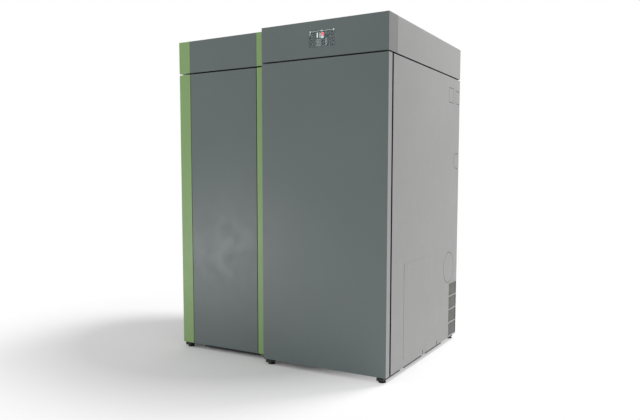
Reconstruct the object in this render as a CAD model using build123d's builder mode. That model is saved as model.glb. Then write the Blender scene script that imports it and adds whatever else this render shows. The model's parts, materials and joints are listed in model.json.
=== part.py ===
from build123d import *
import math
import os

os.makedirs("parts", exist_ok=True)

# Pellet boiler in millimetres, +Z up, its front towards -Y, standing on z = 0.
# The origin lies under the middle of the box round the cabinet and its rear connections.

# Cabinet
boiler_width = 600.0
store_width = 520.0
cabinet_depth = 918.0
cabinet_height = 1490.0
foot_height = 25.0
store_setback = 58.0
hood_height = 148.5
shadow_gap = 6.5
rear_reach = 80.0

x_right = (boiler_width + store_width) / 2
x_left = -x_right
x_split = x_right - boiler_width
x_boiler = (x_split + x_right) / 2
y_front = -(cabinet_depth + rear_reach) / 2
y_rear = y_front + cabinet_depth
y_store = y_front + store_setback
y_pipe_end = y_rear + rear_reach
z_case = foot_height
z_hood = cabinet_height - hood_height
z_door = z_hood - shadow_gap

# Sheet metal and clearances
sheet = 1.5
front_skin = 1.5
panel_sheet = 2.5
seam = 3.0
hair = 0.3
running_clearance = 0.06
module_gap = 0.4

# Doors
door_depth = 35.0
grip_gap = 17.0
door_lip = 20.0
boiler_hinge_inset = 12.0
boiler_pin_radius = 4.0
boiler_bush_radius = 8.0
store_hinge_inset = 6.0
store_pin_radius = 3.0
store_bush_radius = 5.2
pin_reach = 17.0
bracket_plate = 3.0

door_back = y_front + front_skin + door_depth
panel_front = door_back + grip_gap - front_skin
store_door_back = y_store + front_skin + door_depth
store_panel_front = store_door_back

# Green strips at both edges of the store module
left_strip = 65.0
right_strip = 68.0
x_strip_left = x_left + left_strip
x_strip_right = x_split - right_strip

# Frames behind the panels
frame_inset = 22.0
frame_rear_inset = 40.0
angle_width = 30.0
angle_wall = 2.5
ring_drop = 25.0
ring_rise = 8.5
plinth_inset = 12.0
rail_width = 30.0
rail_wall = 2.5
rail_top = 65.0
rail_low = z_case - 2.5
plinth_low = 10.0
lip_wall = 3.0
foot_inset = 27.0
foot_bar = 60.0
frame_front = panel_front + sheet
store_frame_front = store_door_back + 3.5
frame_rear = y_rear - frame_rear_inset
ring_low = z_door - ring_drop
ring_top = z_hood + ring_rise
top_under = cabinet_height - sheet

# Adjustable feet
pad_radius = 16.0
pad_edge = 4.0
pad_height = 9.0
stud_radius = 5.0
thread_clearance = 0.05

# Hood and display
fascia_depth = 88.0
hood_seam = 1.2
display_width = 120.5
display_height = 69.5
display_top_edge = 38.5
display_low = cabinet_height - display_top_edge - display_height
glass_clearance = 0.25
bezel_rest = 5.0
display_body = 30.0

# Boiler vessel
vessel_width = 400.0
vessel_front = y_front + 215.0
vessel_rear = y_front + 700.0
vessel_top = z_hood - 221.5
shell_wall = 4.0
chamber_wall = 5.0
side_jacket = 40.0
front_jacket = 30.0
mid_jacket = 35.0
rear_jacket = 30.0
firebox_depth = 230.0
ash_bay_low = 80.0
ash_bay_top = 280.0
firebox_low = 310.0
firebox_top = vessel_top - 40.0

x_vessel = (x_boiler - vessel_width / 2, x_boiler + vessel_width / 2)
y_vessel = (vessel_front, vessel_rear)
z_vessel = (rail_top, vessel_top)
x_chamber = (x_vessel[0] + side_jacket, x_vessel[1] - side_jacket)
y_firebox = (vessel_front + front_jacket, vessel_front + front_jacket + firebox_depth)
y_exchanger = (y_firebox[1] + mid_jacket, vessel_rear - rear_jacket)
y_tubes = (y_exchanger[0] + y_exchanger[1]) / 2

# Burner and its feed
burner_y = vessel_front + 145.0
pot_half = 55.0
pot_wall = 8.0
pot_low = 262.0
pot_top = 420.0
pot_flange = 6.0
pot_flange_half = 80.0
pot_hole_half = 60.0
grate_z = 272.0
grate_thickness = 6.0
grate_clearance = 1.5
grate_shaft_radius = 5.0
stoker_z = 358.0
stoker_bore = 33.0
stoker_wall = 5.0
stoker_shaft_radius = 8.0
flight_clearance = 2.0
flight_wall = 3.0
lining_wall = 25.0
lining_top = 600.0

# Heat exchanger
tube_radius = 27.0
tube_wall = 3.0
tube_columns = 4
tube_rows = 2
tube_pitch = 72.0
tube_sheet = 8.0
lower_sheet_z = 440.0
upper_sheet_z = vessel_top - 120.0
rake_z = vessel_top - 40.0
rake_plate = 6.0
rake_rod_radius = 5.0
turbulator_radius = 20.0
turbulator_pitch = 80.0
turbulator_start = 40.0
turbulator_spare = 100.0
lift_shaft_radius = 8.0
lift_shaft_z = vessel_top - 75.0
lift_arm = 60.0
lift_arm_angle = 15.0
lift_play = 3.5
stop_radius = 6.0
stop_pitch = 115.0
cover_plate = 12.0

# Combustion door
fire_opening_x = 120.0
fire_opening_z = (440.0, 720.0)
fire_door_margin = 20.0
fire_door_thickness = 22.0
fire_gasket = 2.0
knuckle_radius = 9.0
knuckle_height = 40.0
knuckle_pin_radius = 5.0
hinge_stand_off = 14.0

# Ash box
ash_wall = 2.0
ash_side_clearance = 8.0
ash_box_height = 108.0
ash_wheel_radius = 12.0
ash_wheel_clearance = 1.0
ash_wheel_width = 10.0
ash_axle_radius = 4.0
ash_front_plate = 3.7
ash_handle_reach = 30.0
ash_handle_width = 130.0
ash_handle_radius = 5.0

# Flue gas side
flue_z = 390.0
flue_radius = 75.0
flue_wall = 2.0
flue_port_radius = 48.0
collector_wall = 3.0
collector_depth = 166.0
collector_height = 180.0
fan_offset = 70.0
fan_radius = 58.0
fan_shaft_radius = 5.0

# Water connections
pipe_radius = 21.0
pipe_wall = 3.5
pipe_offset = 110.0
pipe_step = 30.0
flow_z = vessel_top - 60.0
return_z = 150.0
grommet_gap = 3.0

# Pellet store
store_x = -270.0
hopper_wall = 2.0
hopper_side = 40.0
hopper_front = y_front + 130.0
hopper_rear = y_front + 860.0
hopper_knee = 760.0
outlet_width = 90.0
outlet_front = y_front + 480.0
outlet_rear = y_front + 780.0
dosing_z = 530.0
dosing_bore = 45.0
dosing_wall = 3.0
outlet_z = dosing_z + dosing_bore + dosing_wall + 2.0
dosing_front = y_front + 300.0
dosing_rear = y_front + 800.0
dosing_shaft_radius = 10.0
valve_z = 436.0
valve_bore = 36.5
valve_wall = 3.0
valve_depth = 70.0
valve_shaft_radius = 8.0
sprocket_y = y_front + 270.0
sprocket_wall = 6.0
dosing_teeth = 18
valve_teeth = 12
tooth_pitch = 15.7
chain_clearance = 0.6
chain_thickness = 6.0
drop_width = 58.0

# Suction feed on top of the store
lid_sheet = 2.0
cyclone_radius = 88.0
cyclone_under_hood = 46.0
turbine_under_hood = 62.0
cyclone_x = -190.0
turbine_x = -410.0
turbine_y = y_front + 600.0
turbine_radius = 85.0
turbine_wall = 2.5
hose_radius = 25.0
hose_wall = 2.0
hose_z = cabinet_height - 90.0
hose_collar = 4.0
hose_collar_y = (y_rear - 40.0, y_rear - 40.0 + hose_collar)

# Side panel details, measured back from the boiler door's front and up from the floor
knockout_line = 2.6
knockout_depth = 1.6
side_flue_y = y_front + 783.0
side_flue_ring = 78.7
cable_window_y = (y_front + 748.0, y_front + 818.0)
cable_window_z = (z_door - 123.0, z_door - 50.0)
edge_window_y = y_front + 854.0
edge_window_z = (z_door - 122.0, z_door - 57.0)
edge_slot_y = y_front + 834.0
edge_slot_z = (889.0, 966.0)
cover_y = (y_front + 189.2, y_front + 505.0)
cover_z = (58.0, 475.0)
cover_seam = 3.0
cover_tight_seam = 0.4
cover_lip = 12.0
grille_y = (y_front + 795.0, y_front + 912.0)
grille_low = 34.0
grille_rows = 4
grille_row = 62.0
grille_rib = 7.0
grille_slots = 26
grille_slot_share = 0.5
notch_width = 7.0
notch_height = 21.0
notch_places = (y_front + 427.0, y_front + 621.0)
screw_head_radius = 3.5
screw_head = 1.2
screw_shank_radius = 2.0
screw_length = 10.0
screw_places = [(y_front + 240.0, 460.0), (y_front + 463.0, 460.0),
                (y_front + 230.0, 66.0), (y_front + 482.0, 66.0)]
lip_stretches = [(y_front + 2.0, y_front + 182.0), (y_front + 226.0, y_front + 445.0),
                 (y_front + 498.0, y_front + 723.0)]


def block(x, y, z, mode=Mode.ADD):
    """A box between two values along each axis."""
    with Locations(((x[0] + x[1]) / 2, (y[0] + y[1]) / 2, (z[0] + z[1]) / 2)):
        Box(x[1] - x[0], y[1] - y[0], z[1] - z[0], mode=mode)


def rod_x(x, y, z, radius, mode=Mode.ADD):
    """A cylinder along X between the two values of x."""
    with Locations(((x[0] + x[1]) / 2, y, z)):
        Cylinder(radius, x[1] - x[0], rotation=(0, 90, 0), mode=mode)


def rod_y(x, y, z, radius, mode=Mode.ADD):
    """A cylinder along Y between the two values of y."""
    with Locations((x, (y[0] + y[1]) / 2, z)):
        Cylinder(radius, y[1] - y[0], rotation=(90, 0, 0), mode=mode)


def rod_z(x, y, z, radius, mode=Mode.ADD):
    """A cylinder along Z between the two values of z."""
    with Locations((x, y, (z[0] + z[1]) / 2)):
        Cylinder(radius, z[1] - z[0], mode=mode)


def helix_flight(radius_in, radius_out, pitch, length, wall):
    """A screw flight that climbs along Z from the origin."""
    middle = (radius_in + radius_out) / 2
    with BuildPart(mode=Mode.PRIVATE) as flight:
        with BuildLine() as path:
            Helix(pitch, length, middle)
        with BuildSketch(Plane.XZ):
            with Locations((middle, 0)):
                Rectangle(radius_out - radius_in, wall)
        sweep(path=path.wire(), is_frenet=True)
    return flight.part


# Base frames with their foot bars and plinth lips

def base_frame(x, y_face, y_rail, cross_places):
    """Rails of one module between its outer faces x, with bars for the feet below them."""
    x_in = (x[0] + plinth_inset, x[1] - plinth_inset)
    y_in = (y_rail, y_rear - plinth_inset)
    z = (rail_low, rail_top)
    rails = [((x_in[0], x_in[0] + rail_width), y_in), ((x_in[1] - rail_width, x_in[1]), y_in)]
    for y in (y_in[0], *cross_places, y_in[1] - rail_width):
        rails.append((x_in, (y, y + rail_width)))
    for rail_x, rail_y in rails:
        block(rail_x, rail_y, z)
    for rail_x, rail_y in rails:
        block((rail_x[0] + rail_wall, rail_x[1] - rail_wall),
              (rail_y[0] + rail_wall, rail_y[1] - rail_wall),
              (rail_low, rail_top - rail_wall), Mode.SUBTRACT)
    for x_foot in (x[0] + foot_inset, x[1] - foot_inset):
        x_bar = (x_foot - rail_width / 2, x_foot + rail_width / 2)
        block(x_bar, (y_face + 2.0, y_rail + rail_width), (plinth_low, rail_low))
        block(x_bar, (y_in[1] - foot_bar, y_in[1]), (plinth_low, rail_low))
        for y_foot in (y_face + foot_inset, y_rear - foot_inset):
            rod_z(x_foot, y_foot, (plinth_low, rail_low), stud_radius + thread_clearance,
                  Mode.SUBTRACT)


boiler_crosses = [vessel_front + 20.0, vessel_rear - 50.0]
store_crosses = [burner_y - rail_width / 2, hopper_rear - 120.0]

with BuildPart() as boiler_base_frame:
    base_frame((x_split, x_right), y_front, frame_front, boiler_crosses)
    lip_x = (x_right - plinth_inset - lip_wall, x_right - plinth_inset)
    for stretch in lip_stretches:
        block(lip_x, (max(stretch[0], frame_front), stretch[1]), (plinth_low, rail_low))
boiler_base_frame.part.label = "boiler_base_frame"
export_step(boiler_base_frame.part, "parts/boiler_base_frame.step")

stand_width = 40.0
stand_wall = 4.0
stoker_x0 = store_x - 60.0
motor_radius = 38.0
motor_length = 90.0
stoker_motor_x = (stoker_x0 - stoker_wall - motor_length, stoker_x0 - stoker_wall)

with BuildPart() as store_base_frame:
    base_frame((x_left, x_split - module_gap), y_store, store_frame_front, store_crosses)
    lip_x = (x_left + plinth_inset, x_left + plinth_inset + lip_wall)
    for stretch in lip_stretches:
        block(lip_x, (max(stretch[0], store_frame_front), stretch[1]), (plinth_low, rail_low))
    # A set-back lip under the store door
    plinth_x = (x_strip_left + 57.0, x_strip_right)
    plinth_y = y_store + 17.0
    block(plinth_x, (plinth_y, plinth_y + lip_wall), (plinth_low, rail_low))
    block(plinth_x, (plinth_y, store_frame_front + rail_width), (rail_low - lip_wall, rail_low))
    # Stands that carry the stoker tube and its motor
    tube_under = stoker_z - stoker_bore - stoker_wall
    for x_stand in (store_x - stand_width / 2, x_split - 130.0):
        block((x_stand, x_stand + stand_wall), (burner_y - 20.0, burner_y + 20.0),
              (rail_top, tube_under))
        block((x_stand, x_stand + stand_width), (burner_y - 14.0, burner_y - 10.0),
              (rail_top, tube_under))
    motor_mid = (stoker_motor_x[0] + stoker_motor_x[1]) / 2
    block((motor_mid - 20.0, motor_mid + 20.0), (burner_y - 2.0, burner_y + 2.0),
          (rail_top, stoker_z - motor_radius))
store_base_frame.part.label = "store_base_frame"
export_step(store_base_frame.part, "parts/store_base_frame.step")

with BuildPart() as adjustable_feet:
    foot_places = []
    for x_foot in (x_left + foot_inset, x_split - module_gap - foot_inset):
        foot_places += [(x_foot, y_store + foot_inset), (x_foot, y_rear - foot_inset)]
    for x_foot in (x_split + foot_inset, x_right - foot_inset):
        foot_places += [(x_foot, y_front + foot_inset), (x_foot, y_rear - foot_inset)]
    with Locations(*[(x, y, 0) for x, y in foot_places]):
        Cylinder(pad_radius, pad_edge, align=(Align.CENTER, Align.CENTER, Align.MIN))
    with Locations(*[(x, y, pad_edge) for x, y in foot_places]):
        Cone(pad_radius, stud_radius + 3.0, pad_height - pad_edge,
             align=(Align.CENTER, Align.CENTER, Align.MIN))
    with Locations(*[(x, y, pad_height) for x, y in foot_places]):
        Cylinder(stud_radius, rail_low - 0.5 - pad_height,
                 align=(Align.CENTER, Align.CENTER, Align.MIN))
adjustable_feet.part.label = "adjustable_feet"
export_step(adjustable_feet.part, "parts/adjustable_feet.step")


# Casing frames: four corner angles and a ring of angles that closes the shadow gap

def casing_frame(x, y):
    """Corner posts between x and y with an angle ring at the top of the doors."""
    z_post = (rail_top, top_under)
    z_ring = (ring_low, ring_top)
    for x0, x1 in ((x[0], x[0] + angle_width), (x[1] - angle_width, x[1])):
        for y0, y1 in ((y[0], y[0] + angle_wall), (y[1] - angle_wall, y[1])):
            block((x0, x1), (y0, y1), z_post)
    for x0, x1 in ((x[0], x[0] + angle_wall), (x[1] - angle_wall, x[1])):
        for y0, y1 in ((y[0], y[0] + angle_width), (y[1] - angle_width, y[1])):
            block((x0, x1), (y0, y1), z_post)
        block((x0, x1), y, z_ring)
    for y0, y1 in ((y[0], y[0] + angle_wall), (y[1] - angle_wall, y[1])):
        block(x, (y0, y1), z_ring)
    z_flange = (ring_low, ring_low + angle_wall)
    block(x, (y[0], y[0] + angle_width), z_flange)
    block(x, (y[1] - angle_width, y[1]), z_flange)
    block((x[0], x[0] + angle_width), y, z_flange)
    block((x[1] - angle_width, x[1]), y, z_flange)


frame_x = (x_split + frame_inset, x_right - frame_inset)
shelf_y = (y_front + 280.0, y_front + 580.0)
shelf_plate = 2.0

with BuildPart() as boiler_casing_frame:
    casing_frame(frame_x, (frame_front, frame_rear))
    block(frame_x, shelf_y, (ring_top, ring_top + shelf_plate))
boiler_casing_frame.part.label = "boiler_casing_frame"
export_step(boiler_casing_frame.part, "parts/boiler_casing_frame.step")

store_frame_x = (x_left + frame_inset, x_split - frame_inset)

with BuildPart() as store_casing_frame:
    casing_frame(store_frame_x, (store_frame_front, frame_rear))
store_casing_frame.part.label = "store_casing_frame"
export_step(store_casing_frame.part, "parts/store_casing_frame.step")

# Wall between the two modules, with the passage of the stoker tube
tube_outer = stoker_bore + stoker_wall

with BuildPart() as partition_panel:
    block((x_split, x_split + sheet), (door_back + seam, y_rear - sheet), (z_case, z_door))
    block((x_split, x_split + frame_inset), (frame_front - sheet, frame_front), (z_case, z_door))
    rod_x((x_split - 1.0, x_split + 5.0), burner_y, stoker_z, tube_outer + 1.0, Mode.SUBTRACT)
partition_panel.part.label = "partition_panel"
export_step(partition_panel.part, "parts/partition_panel.step")


# Outer panels

def score_rectangle(y, z):
    """The line round a rectangle, drawn on the side panel's outer face."""
    with Locations(((y[0] + y[1]) / 2, (z[0] + z[1]) / 2)):
        Rectangle(y[1] - y[0], z[1] - z[0])
        Rectangle(y[1] - y[0] - 2 * knockout_line, z[1] - z[0] - 2 * knockout_line,
                  mode=Mode.SUBTRACT)


def score_slot(y_start, z):
    """The line round a slot with a round front end that runs out at the rear edge."""
    radius = (z[1] - z[0]) / 2
    z_mid = (z[0] + z[1]) / 2
    y_end = y_rear + radius
    for grow, mode in ((0.0, Mode.ADD), (-knockout_line, Mode.SUBTRACT)):
        with Locations((y_start + radius, z_mid)):
            Circle(radius + grow, mode=mode)
        with Locations(((y_start + radius + y_end) / 2, z_mid)):
            Rectangle(y_end - y_start - radius, 2 * (radius + grow), mode=mode)


grille_windows = []
for row in range(grille_rows):
    low = grille_low + row * (grille_row + grille_rib)
    grille_windows.append((low, low + grille_row))

x_inner = x_right - panel_sheet

with BuildPart() as side_panel_right:
    block((x_inner, x_right), (panel_front, y_rear), (z_case, z_door))
    block((x_right - frame_inset, x_inner), (panel_front, frame_front), (z_case, z_door))
    block((x_right - frame_inset, x_inner), (frame_front, frame_rear), (z_door - sheet, z_door))
    # Lip behind the access cover, then its opening
    block((x_inner - sheet, x_inner), (cover_y[0] - cover_lip, cover_y[1] + cover_lip),
          (cover_z[0] - cover_lip, cover_z[1] + cover_lip))
    block((x_inner, x_right), (cover_y[0] - cover_seam, cover_y[1] + cover_tight_seam),
          (cover_z[0] - cover_tight_seam, cover_z[1] + cover_tight_seam), Mode.SUBTRACT)
    block((x_inner - sheet, x_inner), (cover_y[0] + cover_lip, cover_y[1] - cover_lip),
          (cover_z[0] + cover_lip, cover_z[1] - cover_lip), Mode.SUBTRACT)
    for y_screw, z_screw in screw_places:
        rod_x((x_inner - sheet, x_inner), y_screw, z_screw,
              screw_shank_radius + thread_clearance, Mode.SUBTRACT)
    for window in grille_windows:
        block((x_inner, x_right), grille_y, window, Mode.SUBTRACT)
    for y_notch in notch_places:
        block((x_inner, x_right), (y_notch - notch_width / 2, y_notch + notch_width / 2),
              (z_case, z_case + notch_height), Mode.SUBTRACT)
    # Knock-out lines scored into the outer face
    with BuildSketch(Plane.YZ.offset(x_right)):
        with Locations((side_flue_y, flue_z)):
            Circle(side_flue_ring)
            Circle(side_flue_ring - knockout_line, mode=Mode.SUBTRACT)
        score_rectangle(cable_window_y, cable_window_z)
        score_rectangle((edge_window_y, y_rear + knockout_line * 2), edge_window_z)
        score_slot(edge_slot_y, edge_slot_z)
    extrude(amount=-knockout_depth, mode=Mode.SUBTRACT)
side_panel_right.part.label = "side_panel_right"
export_step(side_panel_right.part, "parts/side_panel_right.step")

with BuildPart() as side_panel_left:
    x_face = x_left + panel_sheet
    block((x_left, x_face), (store_panel_front, y_rear), (z_case, z_door))
    block((x_face, x_left + frame_inset), (store_panel_front, store_panel_front + sheet),
          (z_case, z_door))
    block((x_face, x_left + frame_inset), (store_frame_front, frame_rear),
          (z_door - sheet, z_door))
    for y_notch in notch_places:
        block((x_left, x_face), (y_notch - notch_width / 2, y_notch + notch_width / 2),
              (z_case, z_case + notch_height), Mode.SUBTRACT)
side_panel_left.part.label = "side_panel_left"
export_step(side_panel_left.part, "parts/side_panel_left.step")

with BuildPart() as access_cover:
    block((x_inner, x_right), cover_y, cover_z)
    for y_screw, z_screw in screw_places:
        rod_x((x_inner, x_right), y_screw, z_screw, screw_shank_radius + thread_clearance,
              Mode.SUBTRACT)
        rod_x((x_right - screw_head, x_right), y_screw, z_screw,
              screw_head_radius + thread_clearance, Mode.SUBTRACT)
access_cover.part.label = "access_cover"
export_step(access_cover.part, "parts/access_cover.step")

with BuildPart() as panel_screws:
    for y_screw, z_screw in screw_places:
        rod_x((x_right - screw_head, x_right), y_screw, z_screw, screw_head_radius)
        rod_x((x_right - screw_length, x_right - screw_head), y_screw, z_screw,
              screw_shank_radius)
        with Locations((x_right, y_screw, z_screw)):
            Box(screw_head, 1.0, screw_head_radius * 1.4, mode=Mode.SUBTRACT)
panel_screws.part.label = "panel_screws"
export_step(panel_screws.part, "parts/panel_screws.step")

with BuildPart() as vent_grille:
    grille_z = (grille_windows[0][0] - grille_rib / 2, grille_windows[-1][1] + grille_rib / 2)
    block((x_inner - sheet, x_inner), (grille_y[0] - grille_rib, y_rear - sheet), grille_z)
    slot_pitch = (grille_y[1] - grille_y[0]) / grille_slots
    for low, high in grille_windows:
        with Locations((x_inner, (grille_y[0] + grille_y[1]) / 2, (low + high) / 2)):
            with GridLocations(1.0, slot_pitch, 1, grille_slots):
                Box(4 * sheet, slot_pitch * grille_slot_share, high - low - 3.0,
                    mode=Mode.SUBTRACT)
vent_grille.part.label = "vent_grille"
export_step(vent_grille.part, "parts/vent_grille.step")

# Rear panels with the holes of the flue, the water pipes and the cables
rear_y = (y_rear - sheet, y_rear)
spigot_x = x_boiler + fan_offset
pipe_x = x_boiler - pipe_offset
vent_slots = 12
cable_hole_radius = 11.0

with BuildPart() as boiler_rear_panel:
    block((x_split + sheet, x_inner), rear_y, (z_case, z_door))
    rod_y(spigot_x, rear_y, flue_z, flue_radius + grommet_gap, Mode.SUBTRACT)
    for z_pipe in (flow_z, return_z):
        rod_y(pipe_x, rear_y, z_pipe, pipe_radius + grommet_gap, Mode.SUBTRACT)
    for x_cable in (x_right - 120.0, x_right - 80.0):
        rod_y(x_cable, rear_y, z_door - 80.0, cable_hole_radius, Mode.SUBTRACT)
    with Locations((x_boiler, y_rear, z_door - 180.0)):
        with GridLocations(20.0, 1.0, vent_slots, 1):
            Box(6.0, 4 * sheet, 60.0, mode=Mode.SUBTRACT)
boiler_rear_panel.part.label = "boiler_rear_panel"
export_step(boiler_rear_panel.part, "parts/boiler_rear_panel.step")

with BuildPart() as store_rear_panel:
    block((x_left + panel_sheet, x_split - module_gap), rear_y, (z_case, z_door))
    with Locations(((x_left + x_split) / 2, y_rear, z_case + 120.0)):
        with GridLocations(20.0, 1.0, vent_slots, 1):
            Box(6.0, 4 * sheet, 60.0, mode=Mode.SUBTRACT)
store_rear_panel.part.label = "store_rear_panel"
export_step(store_rear_panel.part, "parts/store_rear_panel.step")


# Hoods and fascias

def hood(x, y_start):
    """A cover open at the front and below, with its top, two sides and rear wall."""
    z = (z_hood, cabinet_height)
    block(x, (y_start, y_rear), z)
    block((x[0] + sheet, x[1] - sheet), (y_start, y_rear - sheet), (z_hood, top_under),
          Mode.SUBTRACT)


def tray(x, y, z, wall=sheet):
    """A tray open at its rear."""
    block(x, y, z)
    block((x[0] + wall, x[1] - wall), (y[0] + wall, y[1]), (z[0] + wall, z[1] - wall),
          Mode.SUBTRACT)


with BuildPart() as boiler_hood:
    hood((x_split, x_right), y_front + fascia_depth + hood_seam)
    with Locations((x_boiler, y_rear, (z_hood + cabinet_height) / 2)):
        with GridLocations(20.0, 1.0, vent_slots, 1):
            Box(6.0, 4 * sheet, 60.0, mode=Mode.SUBTRACT)
    top_edges = boiler_hood.edges().filter_by(Axis.Y).group_by(Axis.Z)[-1]
    fillet(top_edges, sheet * 0.8)
boiler_hood.part.label = "boiler_hood"
export_step(boiler_hood.part, "parts/boiler_hood.step")

hose_places = (turbine_x, cyclone_x)

with BuildPart() as store_hood:
    hood((x_left, x_split - module_gap), store_door_back + hair)
    for x_hose in hose_places:
        rod_y(x_hose, rear_y, hose_z, hose_radius + grommet_gap, Mode.SUBTRACT)
    top_edges = store_hood.edges().filter_by(Axis.Y).group_by(Axis.Z)[-1]
    fillet(top_edges, sheet * 0.8)
store_hood.part.label = "store_hood"
export_step(store_hood.part, "parts/store_hood.step")

display_x = (x_boiler - display_width / 2, x_boiler + display_width / 2)
display_z = (display_low, display_low + display_height)
display_hole_x = (display_x[0] + bezel_rest, display_x[1] - bezel_rest)
display_hole_z = (display_z[0] + bezel_rest, display_z[1] - bezel_rest)
fascia_y = (y_front + front_skin, y_front + fascia_depth)

with BuildPart() as boiler_fascia:
    block((x_split, x_right), fascia_y, (z_hood, cabinet_height))
    block((x_split + sheet, x_right - sheet), (fascia_y[0] + sheet, fascia_y[1]),
          (z_hood + sheet, top_under), Mode.SUBTRACT)
    # The bottom stops in front of the frame
    block((x_split + sheet, x_right - sheet), (frame_front - seam, fascia_y[1]),
          (z_hood, z_hood + sheet), Mode.SUBTRACT)
    block(display_hole_x, (fascia_y[0], fascia_y[0] + sheet), display_hole_z, Mode.SUBTRACT)
boiler_fascia.part.label = "boiler_fascia"
export_step(boiler_fascia.part, "parts/boiler_fascia.step")

with BuildPart() as boiler_fascia_front:
    block((x_split, x_right), (y_front, fascia_y[0]), (z_hood, cabinet_height))
    block(display_x, (y_front, fascia_y[0]), display_z, Mode.SUBTRACT)
    fillet(boiler_fascia_front.faces().sort_by(Axis.Y)[0].outer_wire().edges(), front_skin / 2)
boiler_fascia_front.part.label = "boiler_fascia_front"
export_step(boiler_fascia_front.part, "parts/boiler_fascia_front.step")

with BuildPart() as display_glass:
    block((display_x[0] + glass_clearance, display_x[1] - glass_clearance),
          (y_front, fascia_y[0]),
          (display_z[0] + glass_clearance, display_z[1] - glass_clearance))
    fillet(display_glass.edges().filter_by(Axis.Y), 2.0)
display_glass.part.label = "display_glass"
export_step(display_glass.part, "parts/display_glass.step")

with BuildPart() as display_housing:
    body_y = fascia_y[0] + sheet
    block(display_x, (body_y, body_y + display_body), display_z)
    fillet(display_housing.edges().filter_by(Axis.Y), 6.0)
    chamfer(display_housing.faces().sort_by(Axis.Y)[-1].edges(), 3.0)
display_housing.part.label = "display_housing"
export_step(display_housing.part, "parts/display_housing.step")

with BuildPart() as store_fascia:
    tray((x_strip_left + hood_seam, x_strip_right - hood_seam), (y_store, store_door_back),
         (z_hood, cabinet_height))
    fillet(store_fascia.faces().sort_by(Axis.Y)[0].edges(), front_skin / 2)
store_fascia.part.label = "store_fascia"
export_step(store_fascia.part, "parts/store_fascia.step")

with BuildPart() as hood_strips:
    for strip_x in ((x_left, x_strip_left), (x_strip_right, x_split - module_gap)):
        tray(strip_x, (y_store, store_door_back), (z_hood, cabinet_height))
hood_strips.part.label = "hood_strips"
export_step(hood_strips.part, "parts/hood_strips.step")


def trim_strip(x, left_back, right_back):
    """A strip folded back at both edges, closed at its top and bottom."""
    block(x, (y_store, y_store + sheet), (z_case, z_door))
    block((x[0], x[0] + sheet), (y_store, left_back), (z_case, z_door))
    block((x[1] - sheet, x[1]), (y_store, right_back), (z_case, z_door))
    for z0 in (z_case, z_door - sheet):
        block(x, (y_store, store_door_back), (z0, z0 + sheet))


with BuildPart() as trim_strip_left:
    trim_strip((x_left, x_strip_left), store_panel_front, store_frame_front)
    fillet(trim_strip_left.edges().filter_by(Axis.Z).group_by(Axis.Y)[0], 1.2)
trim_strip_left.part.label = "trim_strip_left"
export_step(trim_strip_left.part, "parts/trim_strip_left.step")

with BuildPart() as trim_strip_right:
    trim_strip((x_strip_right, x_split - module_gap), store_frame_front, store_frame_front)
    fillet(trim_strip_right.edges().filter_by(Axis.Z).group_by(Axis.Y)[0], 1.2)
trim_strip_right.part.label = "trim_strip_right"
export_step(trim_strip_right.part, "parts/trim_strip_right.step")


# Doors with their hinge bushes

def door_tray(x, y, pin_x, pin_y, pin_radius, bush_radius):
    """A folded door with a lip round its back and a hinge bush at its top and bottom."""
    block(x, y, (z_case, z_door))
    block((x[0] + sheet, x[1] - sheet), (y[0] + sheet, y[1] - sheet),
          (z_case + sheet, z_door - sheet), Mode.SUBTRACT)
    block((x[0] + door_lip, x[1] - door_lip), (y[1] - sheet, y[1]),
          (z_case + door_lip, z_door - door_lip), Mode.SUBTRACT)
    for z0, z1 in ((z_case, z_case + pin_reach + 3.0), (z_door - pin_reach - 3.0, z_door)):
        rod_z(pin_x, pin_y, (z0, z1), bush_radius)
    for z0, z1 in ((z_case, z_case + pin_reach + 1.0), (z_door - pin_reach - 1.0, z_door)):
        rod_z(pin_x, pin_y, (z0, z1), pin_radius + running_clearance, Mode.SUBTRACT)


boiler_pin = (x_split + boiler_hinge_inset, y_front + boiler_hinge_inset)
store_door_x = (x_strip_left + seam, x_strip_right - seam)
store_pin = (store_door_x[0] + store_hinge_inset, y_store + store_hinge_inset)

with BuildPart() as boiler_door:
    door_tray((x_split, x_right), (y_front + front_skin, door_back), *boiler_pin,
              boiler_pin_radius, boiler_bush_radius)
boiler_door.part.label = "boiler_door"
export_step(boiler_door.part, "parts/boiler_door.step")

with BuildPart() as boiler_door_front:
    block((x_split, x_right), (y_front, y_front + front_skin), (z_case, z_door))
    fillet(boiler_door_front.faces().sort_by(Axis.Y)[0].edges(), front_skin / 2)
boiler_door_front.part.label = "boiler_door_front"
export_step(boiler_door_front.part, "parts/boiler_door_front.step")

with BuildPart() as store_door:
    door_tray(store_door_x, (y_store, store_door_back), *store_pin,
              store_pin_radius, store_bush_radius)
    fillet(store_door.faces().sort_by(Axis.Y)[0].edges(), front_skin / 2)
store_door.part.label = "store_door"
export_step(store_door.part, "parts/store_door.step")

bracket_gap = (shadow_gap - bracket_plate) / 2
foot_bracket = (rail_low, z_case - 0.5)

with BuildPart() as door_hinges:
    z_plate = (z_door + bracket_gap, z_hood - bracket_gap)
    boiler_top_x = (x_split, x_split + frame_inset + 16.0)
    block(boiler_top_x, (y_front + 4.0, frame_front), z_plate)
    rod_z(*boiler_pin, (z_door - pin_reach, z_plate[0]), boiler_pin_radius)
    block((x_split, x_split + foot_inset + 8.0), (y_front + 4.0, y_front + foot_inset + 20.0),
          foot_bracket)
    rod_z(*boiler_pin, (foot_bracket[1], z_case + pin_reach), boiler_pin_radius)
    block((store_pin[0] - 14.0, store_pin[0] + 14.0), (y_store + 2.0, store_frame_front), z_plate)
    rod_z(*store_pin, (z_door - pin_reach, z_plate[0]), store_pin_radius)
    block((x_left + plinth_inset, store_pin[0] + 8.0),
          (y_store + 2.0, y_store + foot_inset + 10.0), foot_bracket)
    rod_z(*store_pin, (foot_bracket[1], z_case + pin_reach), store_pin_radius)
door_hinges.part.label = "door_hinges"
export_step(door_hinges.part, "parts/door_hinges.step")

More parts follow.
